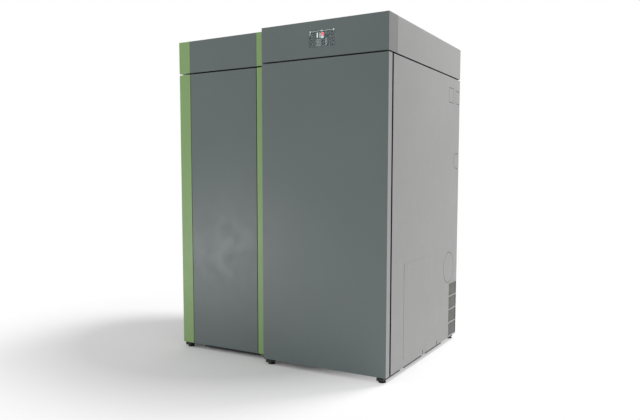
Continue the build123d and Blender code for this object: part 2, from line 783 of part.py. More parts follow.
catch_x = (frame_x[1] - angle_width + 5.0, frame_x[1] - 3.0)
latch_z = (z_case + z_door) / 2
latch_x = store_door_x[1] - door_lip / 2
latch_plate = 3.0
latch_radius = 4.0
latch_travel = 4.0
latch_length = 40.0

with BuildPart() as door_catches:
    for z_catch in (z_case + 120.0, z_door - 120.0):
        block(catch_x, (door_back + hair, frame_front), (z_catch - 20.0, z_catch + 20.0))
    # Body of the push latch on the store frame's right post
    block((latch_x - 10.0, store_frame_x[1] - angle_width),
          (store_frame_front, store_frame_front + latch_plate), (latch_z - 20.0, latch_z + 20.0))
    rod_y(latch_x, (store_frame_front, store_frame_front + latch_length), latch_z, 9.0)
    rod_y(latch_x, (store_frame_front, store_frame_front + latch_length - latch_plate), latch_z,
          latch_radius + running_clearance, Mode.SUBTRACT)
door_catches.part.label = "door_catches"
export_step(door_catches.part, "parts/door_catches.step")

with BuildPart() as latch_plunger:
    plunger_y = (store_door_back + hair,
                 store_frame_front + latch_length - latch_plate - 1.0 - latch_travel)
    rod_y(latch_x, plunger_y, latch_z, latch_radius)
    fillet(latch_plunger.faces().sort_by(Axis.Y)[0].edges(), 1.0)
latch_plunger.part.label = "latch_plunger"
export_step(latch_plunger.part, "parts/latch_plunger.step")

# Control unit on the shelf, and the switch panel behind the boiler door
control_low = ring_top + shelf_plate

with BuildPart() as control_unit:
    block((x_boiler - 180.0, x_boiler + 160.0), (shelf_y[0] + 20.0, shelf_y[1] - 20.0),
          (control_low, control_low + 70.0))
    fillet(control_unit.edges().filter_by(Axis.Z), 8.0)
    fillet(control_unit.faces().sort_by(Axis.Z)[-1].edges(), 4.0)
    with Locations((x_boiler - 10.0, shelf_y[0] + 20.0, control_low + 25.0)):
        with GridLocations(28.0, 1.0, 10, 1):
            Box(20.0, 30.0, 22.0, mode=Mode.SUBTRACT)
control_unit.part.label = "control_unit"
export_step(control_unit.part, "parts/control_unit.step")

switch_x = x_boiler - 60.0
switch_z = ring_low - 40.0
switch_half = (9.5, 6.0, 13.0)
switch_pocket = 15.0
switch_depth = 22.0
switch_pin_radius = 1.5
switch_y = frame_front - sheet - 2.0
cap_x = x_boiler + 60.0

with BuildPart() as switch_panel:
    block((x_boiler - 110.0, x_boiler + 110.0), (frame_front - sheet, frame_front),
          (switch_z - 35.0, ring_top - 6.0))
    block((switch_x - 16.0, switch_x + 16.0), (switch_y, frame_front + switch_depth),
          (switch_z - 20.0, switch_z + 20.0))
    block((switch_x - switch_half[0] - hair, switch_x + switch_half[0] + hair),
          (switch_y, frame_front + switch_depth - 3.0),
          (switch_z - switch_pocket, switch_z + switch_pocket), Mode.SUBTRACT)
    rod_x((switch_x - 14.0, switch_x + 14.0), switch_y + 4.0, switch_z,
          switch_pin_radius + running_clearance, Mode.SUBTRACT)
    # Screw cap of the safety thermostat
    rod_y(cap_x, (frame_front - sheet - 9.0, frame_front - sheet), switch_z, 11.0)
    fillet(switch_panel.faces().sort_by(Axis.Y)[0].edges(), 1.5)
    rod_y(cap_x, (frame_front, frame_front + 30.0), switch_z, 16.0)
switch_panel.part.label = "switch_panel"
export_step(switch_panel.part, "parts/switch_panel.step")

with BuildPart() as main_switch:
    y_mid = switch_y + 4.0
    block((switch_x - switch_half[0], switch_x + switch_half[0]),
          (y_mid - switch_half[1], y_mid + switch_half[1]),
          (switch_z - switch_half[2], switch_z + switch_half[2]))
    fillet(main_switch.edges().filter_by(Axis.X).group_by(Axis.Y)[0], 2.0)
    rod_x((switch_x - 13.5, switch_x + 13.5), y_mid, switch_z, switch_pin_radius)
main_switch.part.label = "main_switch"
export_step(main_switch.part, "parts/main_switch.step")

# Boiler vessel: an outer shell round a water space, with the chambers let into it
z_firebox = (firebox_low, firebox_top)
z_ash_bay = (ash_bay_low, ash_bay_top)
y_ash_bay = (vessel_front, y_firebox[1])
y_passage = (y_firebox[1], y_exchanger[0])
opening_x = (x_boiler - fire_opening_x, x_boiler + fire_opening_x)
chambers = [(x_chamber, y_firebox, z_firebox),
            (x_chamber, y_ash_bay, z_ash_bay),
            (x_chamber, y_exchanger, (firebox_low, vessel_top)),
            (opening_x, (vessel_front, y_firebox[0]), fire_opening_z),
            ((x_chamber[0] + 50.0, x_chamber[1] - 50.0), y_passage,
             (firebox_top - 60.0, firebox_top - 5.0))]
lift_y = y_exchanger[0] + 12.0
fan_x = x_boiler - fan_offset
stoker_hole = tube_outer + 0.5
hinge_axis = (opening_x[0] - 28.0, vessel_front - hinge_stand_off + 1.0)
knuckles = [fire_opening_z[0] + 10.0, fire_opening_z[1] - knuckle_height - 10.0]
keeper_x = opening_x[1] + fire_door_margin + 5.0
handle_z = (fire_opening_z[0] + fire_opening_z[1]) / 2


def inside(span, limits, wall):
    """A span grown by a wall, held within limits."""
    return (max(span[0] - wall, limits[0]), min(span[1] + wall, limits[1]))


with BuildPart() as boiler_vessel:
    block(x_vessel, y_vessel, z_vessel)
    fillet(boiler_vessel.edges().filter_by(Axis.Z), 10.0)
    block((x_vessel[0] + shell_wall, x_vessel[1] - shell_wall),
          (y_vessel[0] + shell_wall, y_vessel[1] - shell_wall),
          (z_vessel[0] + shell_wall, z_vessel[1] - shell_wall), Mode.SUBTRACT)
    for chamber_x, chamber_y, chamber_z in chambers:
        block(inside(chamber_x, x_vessel, chamber_wall), inside(chamber_y, y_vessel, chamber_wall),
              inside(chamber_z, z_vessel, chamber_wall))
    pot_hole_x = (x_boiler - pot_hole_half, x_boiler + pot_hole_half)
    pot_hole_y = (burner_y - pot_hole_half, burner_y + pot_hole_half)
    pot_hole_z = (ash_bay_top, firebox_low)
    left_wall = (x_vessel[0], x_chamber[0])
    right_wall = (x_chamber[1], x_vessel[1])
    rear_wall = (y_exchanger[1], vessel_rear)
    block(inside(pot_hole_x, x_vessel, chamber_wall), inside(pot_hole_y, y_vessel, chamber_wall),
          pot_hole_z)
    rod_x(left_wall, burner_y, stoker_z, stoker_hole + chamber_wall)
    rod_x(right_wall, burner_y, grate_z, grate_shaft_radius + 2 * chamber_wall)
    rod_x(right_wall, lift_y, lift_shaft_z, lift_shaft_radius + chamber_wall)
    rod_y(fan_x, rear_wall, flue_z, flue_port_radius + chamber_wall)
    for chamber_x, chamber_y, chamber_z in chambers:
        block(chamber_x, chamber_y, chamber_z, Mode.SUBTRACT)
    block(pot_hole_x, pot_hole_y, pot_hole_z, Mode.SUBTRACT)
    rod_x(left_wall, burner_y, stoker_z, stoker_hole, Mode.SUBTRACT)
    rod_x(right_wall, burner_y, grate_z, grate_shaft_radius + running_clearance, Mode.SUBTRACT)
    rod_x(right_wall, lift_y, lift_shaft_z, lift_shaft_radius + running_clearance, Mode.SUBTRACT)
    rod_y(fan_x, rear_wall, flue_z, flue_port_radius, Mode.SUBTRACT)
    # Water connections open into the space between the shells
    for z_pipe in (flow_z, return_z):
        rod_y(pipe_x, (vessel_rear - shell_wall, vessel_rear), z_pipe, pipe_radius - pipe_wall,
              Mode.SUBTRACT)
    # Clevises of the combustion door's hinges, and the keeper of its handle
    for z_low in knuckles:
        for z_lug in (z_low - 10.0, z_low + knuckle_height):
            rod_z(*hinge_axis, (z_lug, z_lug + 10.0), knuckle_radius)
            block((hinge_axis[0] - knuckle_radius, hinge_axis[0] + knuckle_radius),
                  (hinge_axis[1], vessel_front), (z_lug, z_lug + 10.0))
            rod_z(*hinge_axis, (z_lug, z_lug + 10.0), knuckle_pin_radius + running_clearance,
                  Mode.SUBTRACT)
    block((keeper_x, keeper_x + 10.0), (vessel_front - 34.0, vessel_front),
          (handle_z - 20.0, handle_z + 20.0))
boiler_vessel.part.label = "boiler_vessel"
export_step(boiler_vessel.part, "parts/boiler_vessel.step")

with BuildPart() as firebox_lining:
    block(x_chamber, y_firebox, (firebox_low, lining_top))
    block((x_chamber[0] + lining_wall, x_chamber[1] - lining_wall),
          (y_firebox[0], y_firebox[1] - lining_wall), (firebox_low, lining_top), Mode.SUBTRACT)
    rod_x((x_chamber[0], x_chamber[0] + lining_wall), burner_y, stoker_z, stoker_hole,
          Mode.SUBTRACT)
firebox_lining.part.label = "firebox_lining"
export_step(firebox_lining.part, "parts/firebox_lining.step")

with BuildPart() as tube_bundle:
    for z_sheet in (lower_sheet_z, upper_sheet_z):
        block(x_chamber, y_exchanger, (z_sheet, z_sheet + tube_sheet))
    tube_mid = (lower_sheet_z + upper_sheet_z + tube_sheet) / 2
    tube_span = upper_sheet_z + tube_sheet - lower_sheet_z
    with Locations((x_boiler, y_tubes, tube_mid)):
        with GridLocations(tube_pitch, tube_pitch, tube_columns, tube_rows):
            Cylinder(tube_radius, tube_span)
        with GridLocations(tube_pitch, tube_pitch, tube_columns, tube_rows):
            Cylinder(tube_radius - tube_wall, tube_span, mode=Mode.SUBTRACT)
    # Stops that the turbulators' plate rests on
    for x_stop in (x_boiler - stop_pitch, x_boiler, x_boiler + stop_pitch):
        rod_z(x_stop, y_tubes, (upper_sheet_z + tube_sheet, rake_z - hair), stop_radius)
tube_bundle.part.label = "tube_bundle"
export_step(tube_bundle.part, "parts/tube_bundle.step")

# Turbulators hung from one plate, which the cleaning shaft's arms lift
turbulator_low = lower_sheet_z + turbulator_start
turbulator_turns = int((rake_z - turbulator_low - turbulator_spare) / turbulator_pitch)
turbulator = helix_flight(rake_rod_radius - 1.0, turbulator_radius, turbulator_pitch,
                          turbulator_pitch * turbulator_turns, flight_wall)
arm_angle = math.radians(lift_arm_angle)
arm_tip_y = lift_y + lift_arm * math.cos(arm_angle)
arm_tip_z = lift_shaft_z - lift_arm * math.sin(arm_angle)
arm_tip_radius = 5.0
arm_places = [x_boiler - tube_pitch, x_boiler + tube_pitch]
lug_low = arm_tip_z + arm_tip_radius + lift_play

with BuildPart() as turbulator_rake:
    rake_half = ((tube_columns - 1) * tube_pitch / 2 + 22.0, (tube_rows - 1) * tube_pitch / 2 + 19.0)
    block((x_boiler - rake_half[0], x_boiler + rake_half[0]),
          (y_tubes - rake_half[1], y_tubes + rake_half[1]), (rake_z, rake_z + rake_plate))
    for x_arm in arm_places:
        block((x_arm - 6.0, x_arm + 6.0), (arm_tip_y - 4.0, arm_tip_y + 6.0), (lug_low, rake_z))
    with Locations((x_boiler, y_tubes, turbulator_low)):
        with GridLocations(tube_pitch, tube_pitch, tube_columns, tube_rows):
            Cylinder(rake_rod_radius, rake_z - turbulator_low,
                     align=(Align.CENTER, Align.CENTER, Align.MIN))
            add(turbulator)
turbulator_rake.part.label = "turbulator_rake"
export_step(turbulator_rake.part, "parts/turbulator_rake.step")

with BuildPart() as cleaning_shaft:
    rod_x((x_chamber[0] + hair, x_vessel[1] - hair), lift_y, lift_shaft_z, lift_shaft_radius)
    for x_arm in arm_places:
        with BuildSketch(Plane.YZ.offset(x_arm)):
            with Locations((lift_y, lift_shaft_z)):
                Circle(lift_shaft_radius + 4.0)
            with Locations((arm_tip_y, arm_tip_z)):
                Circle(arm_tip_radius)
            make_hull()
        extrude(amount=4.0, both=True)
cleaning_shaft.part.label = "cleaning_shaft"
export_step(cleaning_shaft.part, "parts/cleaning_shaft.step")

with BuildPart() as cleaning_cover:
    block((x_chamber[0] - 15.0, x_chamber[1] + 15.0),
          (y_exchanger[0] - 12.0, y_exchanger[1] + 12.0), (vessel_top, vessel_top + cover_plate))
    fillet(cleaning_cover.edges().filter_by(Axis.Z), 8.0)
    with Locations((x_boiler, y_tubes, vessel_top + cover_plate)):
        with GridLocations(x_chamber[1] - x_chamber[0] + 10.0, y_exchanger[1] - y_exchanger[0] + 4.0,
                           2, 2):
            Cylinder(8.0, 10.0, align=(Align.CENTER, Align.CENTER, Align.MIN))
            Box(34.0, 4.0, 14.0, align=(Align.CENTER, Align.CENTER, Align.MIN))
    with Locations((x_boiler, y_tubes, vessel_top + cover_plate)):
        with Locations((-50.0, 0, 12.0), (50.0, 0, 12.0)):
            Box(8.0, 8.0, 24.0)
        with Locations((0, 0, 28.0)):
            Box(108.0, 8.0, 8.0)
cleaning_cover.part.label = "cleaning_cover"
export_step(cleaning_cover.part, "parts/cleaning_cover.step")

# Burner pot with its air holes, and the grate that tips to empty it
air_hole_radius = 3.5
air_hole_places = (-28.0, -14.0, 0.0, 14.0, 28.0)
slag_slots = 5
pot_x = (x_boiler - pot_half, x_boiler + pot_half)
pot_y = (burner_y - pot_half, burner_y + pot_half)

with BuildPart() as burner_pot:
    block(pot_x, pot_y, (pot_low, pot_top))
    fillet(burner_pot.edges().filter_by(Axis.Z), 6.0)
    block((x_boiler - pot_flange_half, x_boiler + pot_flange_half),
          (burner_y - pot_flange_half, burner_y + pot_flange_half),
          (firebox_low, firebox_low + pot_flange))
    block((pot_x[0] + pot_wall, pot_x[1] - pot_wall), (pot_y[0] + pot_wall, pot_y[1] - pot_wall),
          (pot_low, pot_top), Mode.SUBTRACT)
    rod_x((pot_x[0] - 1.0, x_boiler), burner_y, stoker_z, stoker_bore, Mode.SUBTRACT)
    rod_x((pot_x[0] - 1.0, pot_x[1] + 1.0), burner_y, grate_z,
          grate_shaft_radius + running_clearance, Mode.SUBTRACT)
    for z_hole in (firebox_low + 18.0, pot_top - 14.0):
        for offset in air_hole_places:
            rod_y(x_boiler + offset, (pot_y[0] - 1.0, pot_y[1] + 1.0), z_hole, air_hole_radius,
                  Mode.SUBTRACT)
            rod_x((x_boiler, pot_x[1] + 1.0), burner_y + offset, z_hole, air_hole_radius,
                  Mode.SUBTRACT)
burner_pot.part.label = "burner_pot"
export_step(burner_pot.part, "parts/burner_pot.step")

with BuildPart() as tilting_grate:
    grate_half = pot_half - pot_wall - grate_clearance
    block((x_boiler - grate_half, x_boiler + grate_half),
          (burner_y - grate_half, burner_y + grate_half),
          (grate_z - grate_thickness / 2, grate_z + grate_thickness / 2))
    with Locations((x_boiler, burner_y, grate_z)):
        with GridLocations(1.0, 14.0, 1, slag_slots + 1):
            Box(grate_half, 4.0, 2 * grate_thickness, mode=Mode.SUBTRACT)
    rod_x((pot_x[0], x_vessel[1] - hair), burner_y, grate_z, grate_shaft_radius)
tilting_grate.part.label = "tilting_grate"
export_step(tilting_grate.part, "parts/tilting_grate.step")

# Combustion door and its handle
fire_door_x = (opening_x[0] - fire_door_margin + 6.0, opening_x[1] + fire_door_margin)
fire_door_z = (fire_opening_z[0] - fire_door_margin, fire_opening_z[1] + fire_door_margin)
fire_door_y = (vessel_front - hair - fire_gasket - fire_door_thickness,
               vessel_front - hair - fire_gasket)
handle_x = fire_door_x[1] - 20.0
handle_hub = 12.0
handle_spindle = 5.0

with BuildPart() as combustion_door:
    block(fire_door_x, fire_door_y, fire_door_z)
    fillet(combustion_door.edges().filter_by(Axis.Y), 8.0)
    chamfer(combustion_door.faces().sort_by(Axis.Y)[0].edges(), 3.0)
    # Rope seal round the opening
    block((opening_x[0] - 10.0, opening_x[1] + 10.0), (fire_door_y[1], vessel_front - hair),
          (fire_opening_z[0] - 10.0, fire_opening_z[1] + 10.0))
    block((opening_x[0] - 1.0, opening_x[1] + 1.0), (fire_door_y[1], vessel_front - hair),
          (fire_opening_z[0] - 1.0, fire_opening_z[1] + 1.0), Mode.SUBTRACT)
    for z_low in knuckles:
        z_knuckle = (z_low + hair, z_low + knuckle_height - hair)
        rod_z(*hinge_axis, z_knuckle, knuckle_radius)
        block((hinge_axis[0], fire_door_x[0] + 2.0), (hinge_axis[1] - 6.0, hinge_axis[1] + 6.0),
              z_knuckle)
        rod_z(*hinge_axis, (z_low - 9.0, z_low + knuckle_height + 9.0), knuckle_pin_radius)
    rod_y(handle_x, (fire_door_y[0], fire_door_y[0] + 14.0), handle_z,
          handle_spindle + running_clearance, Mode.SUBTRACT)
combustion_door.part.label = "combustion_door"
export_step(combustion_door.part, "parts/combustion_door.step")

with BuildPart() as combustion_door_handle:
    lever_y = (fire_door_y[0] - hair - 8.0, fire_door_y[0] - hair)
    rod_y(handle_x, (lever_y[0] - 6.0, lever_y[1]), handle_z, handle_hub)
    block((handle_x, keeper_x - 0.8), lever_y, (handle_z - 5.0, handle_z + 5.0))
    block((handle_x - 7.0, handle_x + 7.0), lever_y, (handle_z - 90.0, handle_z))
    rod_y(handle_x, (lever_y[0] - 14.0, lever_y[1]), handle_z - 84.0, 10.0)
    rod_y(handle_x, (lever_y[1], fire_door_y[0] + 13.0), handle_z, handle_spindle)
combustion_door_handle.part.label = "combustion_door_handle"
export_step(combustion_door_handle.part, "parts/combustion_door_handle.step")

# Ash box on two wheelsets
ash_x = (x_chamber[0] + ash_side_clearance, x_chamber[1] - ash_side_clearance)
ash_y = (vessel_front + hair, y_firebox[1] - ash_side_clearance)
axle_z = ash_bay_low + hair + ash_wheel_radius
ash_floor = axle_z + ash_wheel_radius + ash_wheel_clearance
ash_top = ash_floor + ash_box_height
axle_places = (ash_y[0] + 45.0, ash_y[1] - 40.0)
wheel_x = (ash_x[0] + 14.0, ash_x[1] - 14.0)
ear_half = ash_axle_radius + 3.0

with BuildPart() as ash_box:
    block(ash_x, ash_y, (ash_floor, ash_top))
    block((ash_x[0] + ash_wall, ash_x[1] - ash_wall), (ash_y[0] + ash_wall, ash_y[1] - ash_wall),
          (ash_floor + ash_wall, ash_top), Mode.SUBTRACT)
    plate_y = (vessel_front - hair - ash_front_plate, vessel_front - hair)
    plate_z = (ash_bay_low - 4.0, ash_bay_top + 4.0)
    block((x_chamber[0] - 4.0, x_chamber[1] + 4.0), plate_y, plate_z)
    block((ash_x[0], ash_x[1]), (plate_y[1], ash_y[0]), (ash_floor, ash_top))
    for y_axle in axle_places:
        for x_ear in (wheel_x[0] + ash_wheel_width, wheel_x[1] - ash_wheel_width):
            block((x_ear - 3.0, x_ear + 3.0), (y_axle - ear_half, y_axle + ear_half),
                  (axle_z - ear_half, ash_floor))
        rod_x((wheel_x[0], wheel_x[1]), y_axle, axle_z, ash_axle_radius + running_clearance,
              Mode.SUBTRACT)
    with BuildLine() as grip_line:
        grip_z = (ash_floor + ash_top) / 2 + 20.0
        reach = plate_y[0] - ash_handle_reach
        FilletPolyline((x_boiler - ash_handle_width / 2, plate_y[0] + 1.0, grip_z),
                       (x_boiler - ash_handle_width / 2, reach, grip_z),
                       (x_boiler + ash_handle_width / 2, reach, grip_z),
                       (x_boiler + ash_handle_width / 2, plate_y[0] + 1.0, grip_z), radius=14.0)
    with BuildSketch(Plane(grip_line.wire() @ 0, z_dir=grip_line.wire() % 0)):
        Circle(ash_handle_radius)
    sweep(path=grip_line.wire())
ash_box.part.label = "ash_box"
export_step(ash_box.part, "parts/ash_box.step")


def wheelset(y_axle):
    """An axle with a wheel outside each ear."""
    rod_x((wheel_x[0] - ash_wheel_width / 2, wheel_x[1] + ash_wheel_width / 2), y_axle, axle_z,
          ash_axle_radius)
    for x_wheel in wheel_x:
        rod_x((x_wheel - ash_wheel_width / 2, x_wheel + ash_wheel_width / 2), y_axle, axle_z,
              ash_wheel_radius)


with BuildPart() as ash_box_front_wheels:
    wheelset(axle_places[0])
ash_box_front_wheels.part.label = "ash_box_front_wheels"
export_step(ash_box_front_wheels.part, "parts/ash_box_front_wheels.step")

with BuildPart() as ash_box_rear_wheels:
    wheelset(axle_places[1])
ash_box_rear_wheels.part.label = "ash_box_rear_wheels"
export_step(ash_box_rear_wheels.part, "parts/ash_box_rear_wheels.step")

# Flue collector with the draught fan, and the spigot
collector_x = (x_vessel[0] + 50.0, x_vessel[1] - 50.0)
collector_y = (vessel_rear, vessel_rear + collector_depth)
collector_z = (flue_z - collector_height / 2, flue_z + collector_height / 2)
volute_radius = fan_radius + 6.0
impeller_y = (collector_y[0] + 18.0, collector_y[0] + 58.0)
blades = 10

with BuildPart() as flue_collector:
    block(collector_x, collector_y, collector_z)
    block((collector_x[0] + collector_wall, collector_x[1] - collector_wall),
          (collector_y[0] + collector_wall, collector_y[1] - collector_wall),
          (collector_z[0] + collector_wall, collector_z[1] - collector_wall), Mode.SUBTRACT)
    # Scroll round the fan, open towards the spigot
    volute_y = (collector_y[0] + collector_wall, impeller_y[1] + 4.0)
    rod_y(fan_x, volute_y, flue_z, volute_radius + collector_wall)
    rod_y(fan_x, volute_y, flue_z, volute_radius, Mode.SUBTRACT)
    block((fan_x + volute_radius * 0.5, fan_x + volute_radius + 2 * collector_wall), volute_y,
          (flue_z, flue_z + volute_radius), Mode.SUBTRACT)
    rod_y(fan_x, (collector_y[0], collector_y[0] + collector_wall), flue_z, flue_port_radius,
          Mode.SUBTRACT)
    rod_y(fan_x, (collector_y[1] - collector_wall, collector_y[1]), flue_z,
          fan_shaft_radius + running_clearance, Mode.SUBTRACT)
    rod_y(spigot_x, (collector_y[1] - collector_wall, collector_y[1]), flue_z,
          flue_radius - flue_wall, Mode.SUBTRACT)
    # Blanked outlet towards the side knock-out
    rod_x((collector_x[1], collector_x[1] + 6.0), (collector_y[0] + collector_y[1]) / 2, flue_z,
          side_flue_ring - knockout_line)
flue_collector.part.label = "flue_collector"
export_step(flue_collector.part, "parts/flue_collector.step")

with BuildPart() as flue_spigot:
    rod_y(spigot_x, (collector_y[1], y_pipe_end), flue_z, flue_radius)
    rod_y(spigot_x, (collector_y[1], collector_y[1] + 3.0), flue_z, flue_radius + 4.0)
    rod_y(spigot_x, (collector_y[1], y_pipe_end), flue_z, flue_radius - flue_wall, Mode.SUBTRACT)
flue_spigot.part.label = "flue_spigot"
export_step(flue_spigot.part, "parts/flue_spigot.step")

with BuildPart() as fan_impeller:
    rod_y(fan_x, (impeller_y[1] - 3.0, impeller_y[1]), flue_z, fan_radius)
    rod_y(fan_x, impeller_y, flue_z, 14.0)
    with BuildSketch(Plane.XZ.offset(-impeller_y[1])):
        with Locations((fan_x, flue_z)):
            with PolarLocations(fan_radius * 0.6, blades):
                Rectangle(fan_radius * 0.7, 2.5, rotation=25.0)
    extrude(amount=impeller_y[1] - impeller_y[0])
    rod_y(fan_x, (impeller_y[0], collector_y[1] - hair), flue_z, fan_shaft_radius)
fan_impeller.part.label = "fan_impeller"
export_step(fan_impeller.part, "parts/fan_impeller.step")

with BuildPart() as water_pipes:
    for z_pipe in (flow_z, return_z):
        rod_y(pipe_x, (vessel_rear, y_pipe_end - pipe_step), z_pipe, pipe_radius)
        rod_y(pipe_x, (vessel_rear, vessel_rear + 14.0), z_pipe, pipe_radius + 6.0)
        rod_y(pipe_x, (vessel_rear, y_pipe_end - pipe_step), z_pipe, pipe_radius - pipe_wall,
              Mode.SUBTRACT)
water_pipes.part.label = "water_pipes"
export_step(water_pipes.part, "parts/water_pipes.step")

# Pellet hopper hung below the store frame's ring
hopper_x = (x_left + hopper_side, x_split - hopper_side)
hopper_y = (hopper_front, hopper_rear)
hopper_flange = 4.0
outlet_x = (store_x - outlet_width / 2, store_x + outlet_width / 2)
outlet_y = (outlet_front, outlet_rear)
hopper_top = ring_low


def funnel(grow, mode=Mode.ADD):
    """The sloping part of the hopper, grown outwards by a wall."""
    with BuildSketch(Plane.XY.offset(hopper_knee)) as mouth:
        with Locations(((hopper_x[0] + hopper_x[1]) / 2, (hopper_y[0] + hopper_y[1]) / 2)):
            Rectangle(hopper_x[1] - hopper_x[0] + 2 * grow, hopper_y[1] - hopper_y[0] + 2 * grow)
    with BuildSketch(Plane.XY.offset(outlet_z)) as outlet:
        with Locations((store_x, (outlet_y[0] + outlet_y[1]) / 2)):
            Rectangle(outlet_width + 2 * grow, outlet_y[1] - outlet_y[0] + 2 * grow)
    loft([mouth.sketch, outlet.sketch], mode=mode)


with BuildPart() as pellet_hopper:
    funnel(0.0)
    block(hopper_x, hopper_y, (hopper_knee, hopper_top))
    block((store_frame_x[0] + angle_wall, store_frame_x[1] - angle_wall),
          (store_frame_front + angle_wall, frame_rear - angle_wall),
          (hopper_top - hopper_flange, hopper_top))
    funnel(-hopper_wall, Mode.SUBTRACT)
    block((hopper_x[0] + hopper_wall, hopper_x[1] - hopper_wall),
          (hopper_y[0] + hopper_wall, hopper_y[1] - hopper_wall),
          (hopper_knee, hopper_top), Mode.SUBTRACT)
    # Corner posts of the frame pass through the flange
    for x0 in (store_frame_x[0], store_frame_x[1] - angle_width - 1.0):
        for y0 in (store_frame_front, frame_rear - angle_width - 1.0):
            block((x0, x0 + angle_width + 1.0), (y0, y0 + angle_width + 1.0),
                  (hopper_top - hopper_flange, hopper_top), Mode.SUBTRACT)
pellet_hopper.part.label = "pellet_hopper"
export_step(pellet_hopper.part, "parts/pellet_hopper.step")

lid_low = ring_low + angle_wall
lid_top = lid_low + lid_sheet
cyclone_height = top_under - cyclone_under_hood - lid_top

with BuildPart() as hopper_lid:
    lid_x = (store_frame_x[0] + angle_wall + 1.0, store_frame_x[1] - angle_wall - 1.0)
    lid_y = (store_frame_front + angle_wall + 1.0, frame_rear - angle_wall - 1.0)
    block(lid_x, lid_y, (lid_low, lid_top))
    for x0 in (store_frame_x[0], store_frame_x[1] - angle_width - 1.0):
        for y0 in (store_frame_front, frame_rear - angle_width - 1.0):
            block((x0, x0 + angle_width + 1.0), (y0, y0 + angle_width + 1.0),
                  (lid_low, lid_top), Mode.SUBTRACT)
    # Cyclone that drops the pellets, with its hose stub
    rod_z(cyclone_x, turbine_y, (lid_top, lid_top + cyclone_height), cyclone_radius)
    rod_y(cyclone_x, (turbine_y, y_pipe_end - pipe_step), hose_z, hose_radius)
    rod_y(cyclone_x, hose_collar_y, hose_z, hose_radius + hose_collar)
    rod_z(cyclone_x, turbine_y, (lid_low, lid_top + cyclone_height - lid_sheet),
          cyclone_radius - lid_sheet, Mode.SUBTRACT)
    rod_y(cyclone_x, (turbine_y, y_pipe_end - pipe_step), hose_z, hose_radius - hose_wall,
          Mode.SUBTRACT)
hopper_lid.part.label = "hopper_lid"
export_step(hopper_lid.part, "parts/hopper_lid.step")

turbine_height = top_under - turbine_under_hood - lid_top
turbine_z = (lid_top, lid_top + turbine_height)
turbine_shaft = 6.0
motor_post = 22.0

with BuildPart() as suction_turbine:
    rod_z(turbine_x, turbine_y, turbine_z, turbine_radius)
    rod_y(turbine_x, (turbine_y, y_pipe_end - pipe_step), hose_z, hose_radius)
    rod_y(turbine_x, hose_collar_y, hose_z, hose_radius + hose_collar)
    rod_z(turbine_x, turbine_y, (turbine_z[0] + turbine_wall, turbine_z[1] - turbine_wall),
          turbine_radius - turbine_wall, Mode.SUBTRACT)
    rod_y(turbine_x, (turbine_y, y_pipe_end - pipe_step), hose_z, hose_radius - hose_wall,
          Mode.SUBTRACT)
    rod_z(turbine_x, turbine_y, (turbine_z[0], turbine_z[0] + turbine_height / 2), motor_post)
    rod_z(turbine_x, turbine_y, (turbine_z[0] + 20.0, turbine_z[0] + turbine_height / 2),
          turbine_shaft + running_clearance, Mode.SUBTRACT)
suction_turbine.part.label = "suction_turbine"
export_step(suction_turbine.part, "parts/suction_turbine.step")

with BuildPart() as turbine_impeller:
    wheel_low = turbine_z[0] + turbine_height / 2 + 2.0
    wheel_high = turbine_z[1] - turbine_wall - 4.0
    wheel_radius = turbine_radius - turbine_wall - 8.0
    # The disc stops short of the hose outlet
    rod_z(turbine_x, turbine_y, (wheel_low, wheel_low + 3.0), wheel_radius)
    rod_z(turbine_x, turbine_y, (wheel_low, wheel_high - 10.0), 12.0)
    with BuildSketch(Plane.XY.offset(wheel_low)):
        with Locations((turbine_x, turbine_y)):
            with PolarLocations(wheel_radius * 0.6, blades):
                Rectangle(wheel_radius * 0.7, 2.0, rotation=25.0)
    extrude(amount=wheel_high - wheel_low)
    rod_z(turbine_x, turbine_y, (turbine_z[0] + 22.0, wheel_low + 2.0), turbine_shaft)
turbine_impeller.part.label = "turbine_impeller"
export_step(turbine_impeller.part, "parts/turbine_impeller.step")

# Dosing auger under the hopper
dosing_outer = dosing_bore + dosing_wall
dosing_y = (dosing_front, dosing_rear)
drop_x = (store_x - drop_width / 2, store_x + drop_width / 2)
drop_y = (burner_y - drop_width / 2, burner_y + drop_width / 2)
valve_y = (burner_y - valve_depth / 2, burner_y + valve_depth / 2)
valve_body_y = (valve_y[0] - valve_wall, valve_y[1] + valve_wall)
valve_body_x = (store_x - valve_bore - valve_wall, store_x + valve_bore + valve_wall)
valve_body_top = valve_z + valve_bore + valve_wall

with BuildPart() as dosing_tube:
    rod_y(store_x, dosing_y, dosing_z, dosing_outer)
    block((outlet_x[0] - dosing_wall, outlet_x[1] + dosing_wall),
          (outlet_y[0] - dosing_wall, outlet_y[1] + dosing_wall), (dosing_z, outlet_z))
    block((drop_x[0] - dosing_wall, drop_x[1] + dosing_wall),
          (drop_y[0] - dosing_wall, drop_y[1] + dosing_wall), (valve_body_top, dosing_z))
    rod_y(store_x, (dosing_y[0] + dosing_wall, dosing_y[1] - dosing_wall), dosing_z, dosing_bore,
          Mode.SUBTRACT)
    block(outlet_x, outlet_y, (dosing_z, outlet_z), Mode.SUBTRACT)
    block(drop_x, drop_y, (valve_body_top, dosing_z), Mode.SUBTRACT)
    rod_y(store_x, dosing_y, dosing_z, dosing_shaft_radius + running_clearance, Mode.SUBTRACT)
dosing_tube.part.label = "dosing_tube"
export_step(dosing_tube.part, "parts/dosing_tube.step")


def sprocket(z, teeth):
    """A toothed wheel whose pitch circle fits its number of teeth."""
    radius = teeth * tooth_pitch / (2 * math.pi)
    with BuildSketch(Plane.XZ.offset(-sprocket_y)) as profile:
        with Locations((store_x, z)):
            Circle(radius)
            with PolarLocations(radius, teeth):
                Circle(tooth_pitch / 4, mode=Mode.SUBTRACT)
    extrude(profile.sketch, amount=sprocket_wall / 2, both=True)


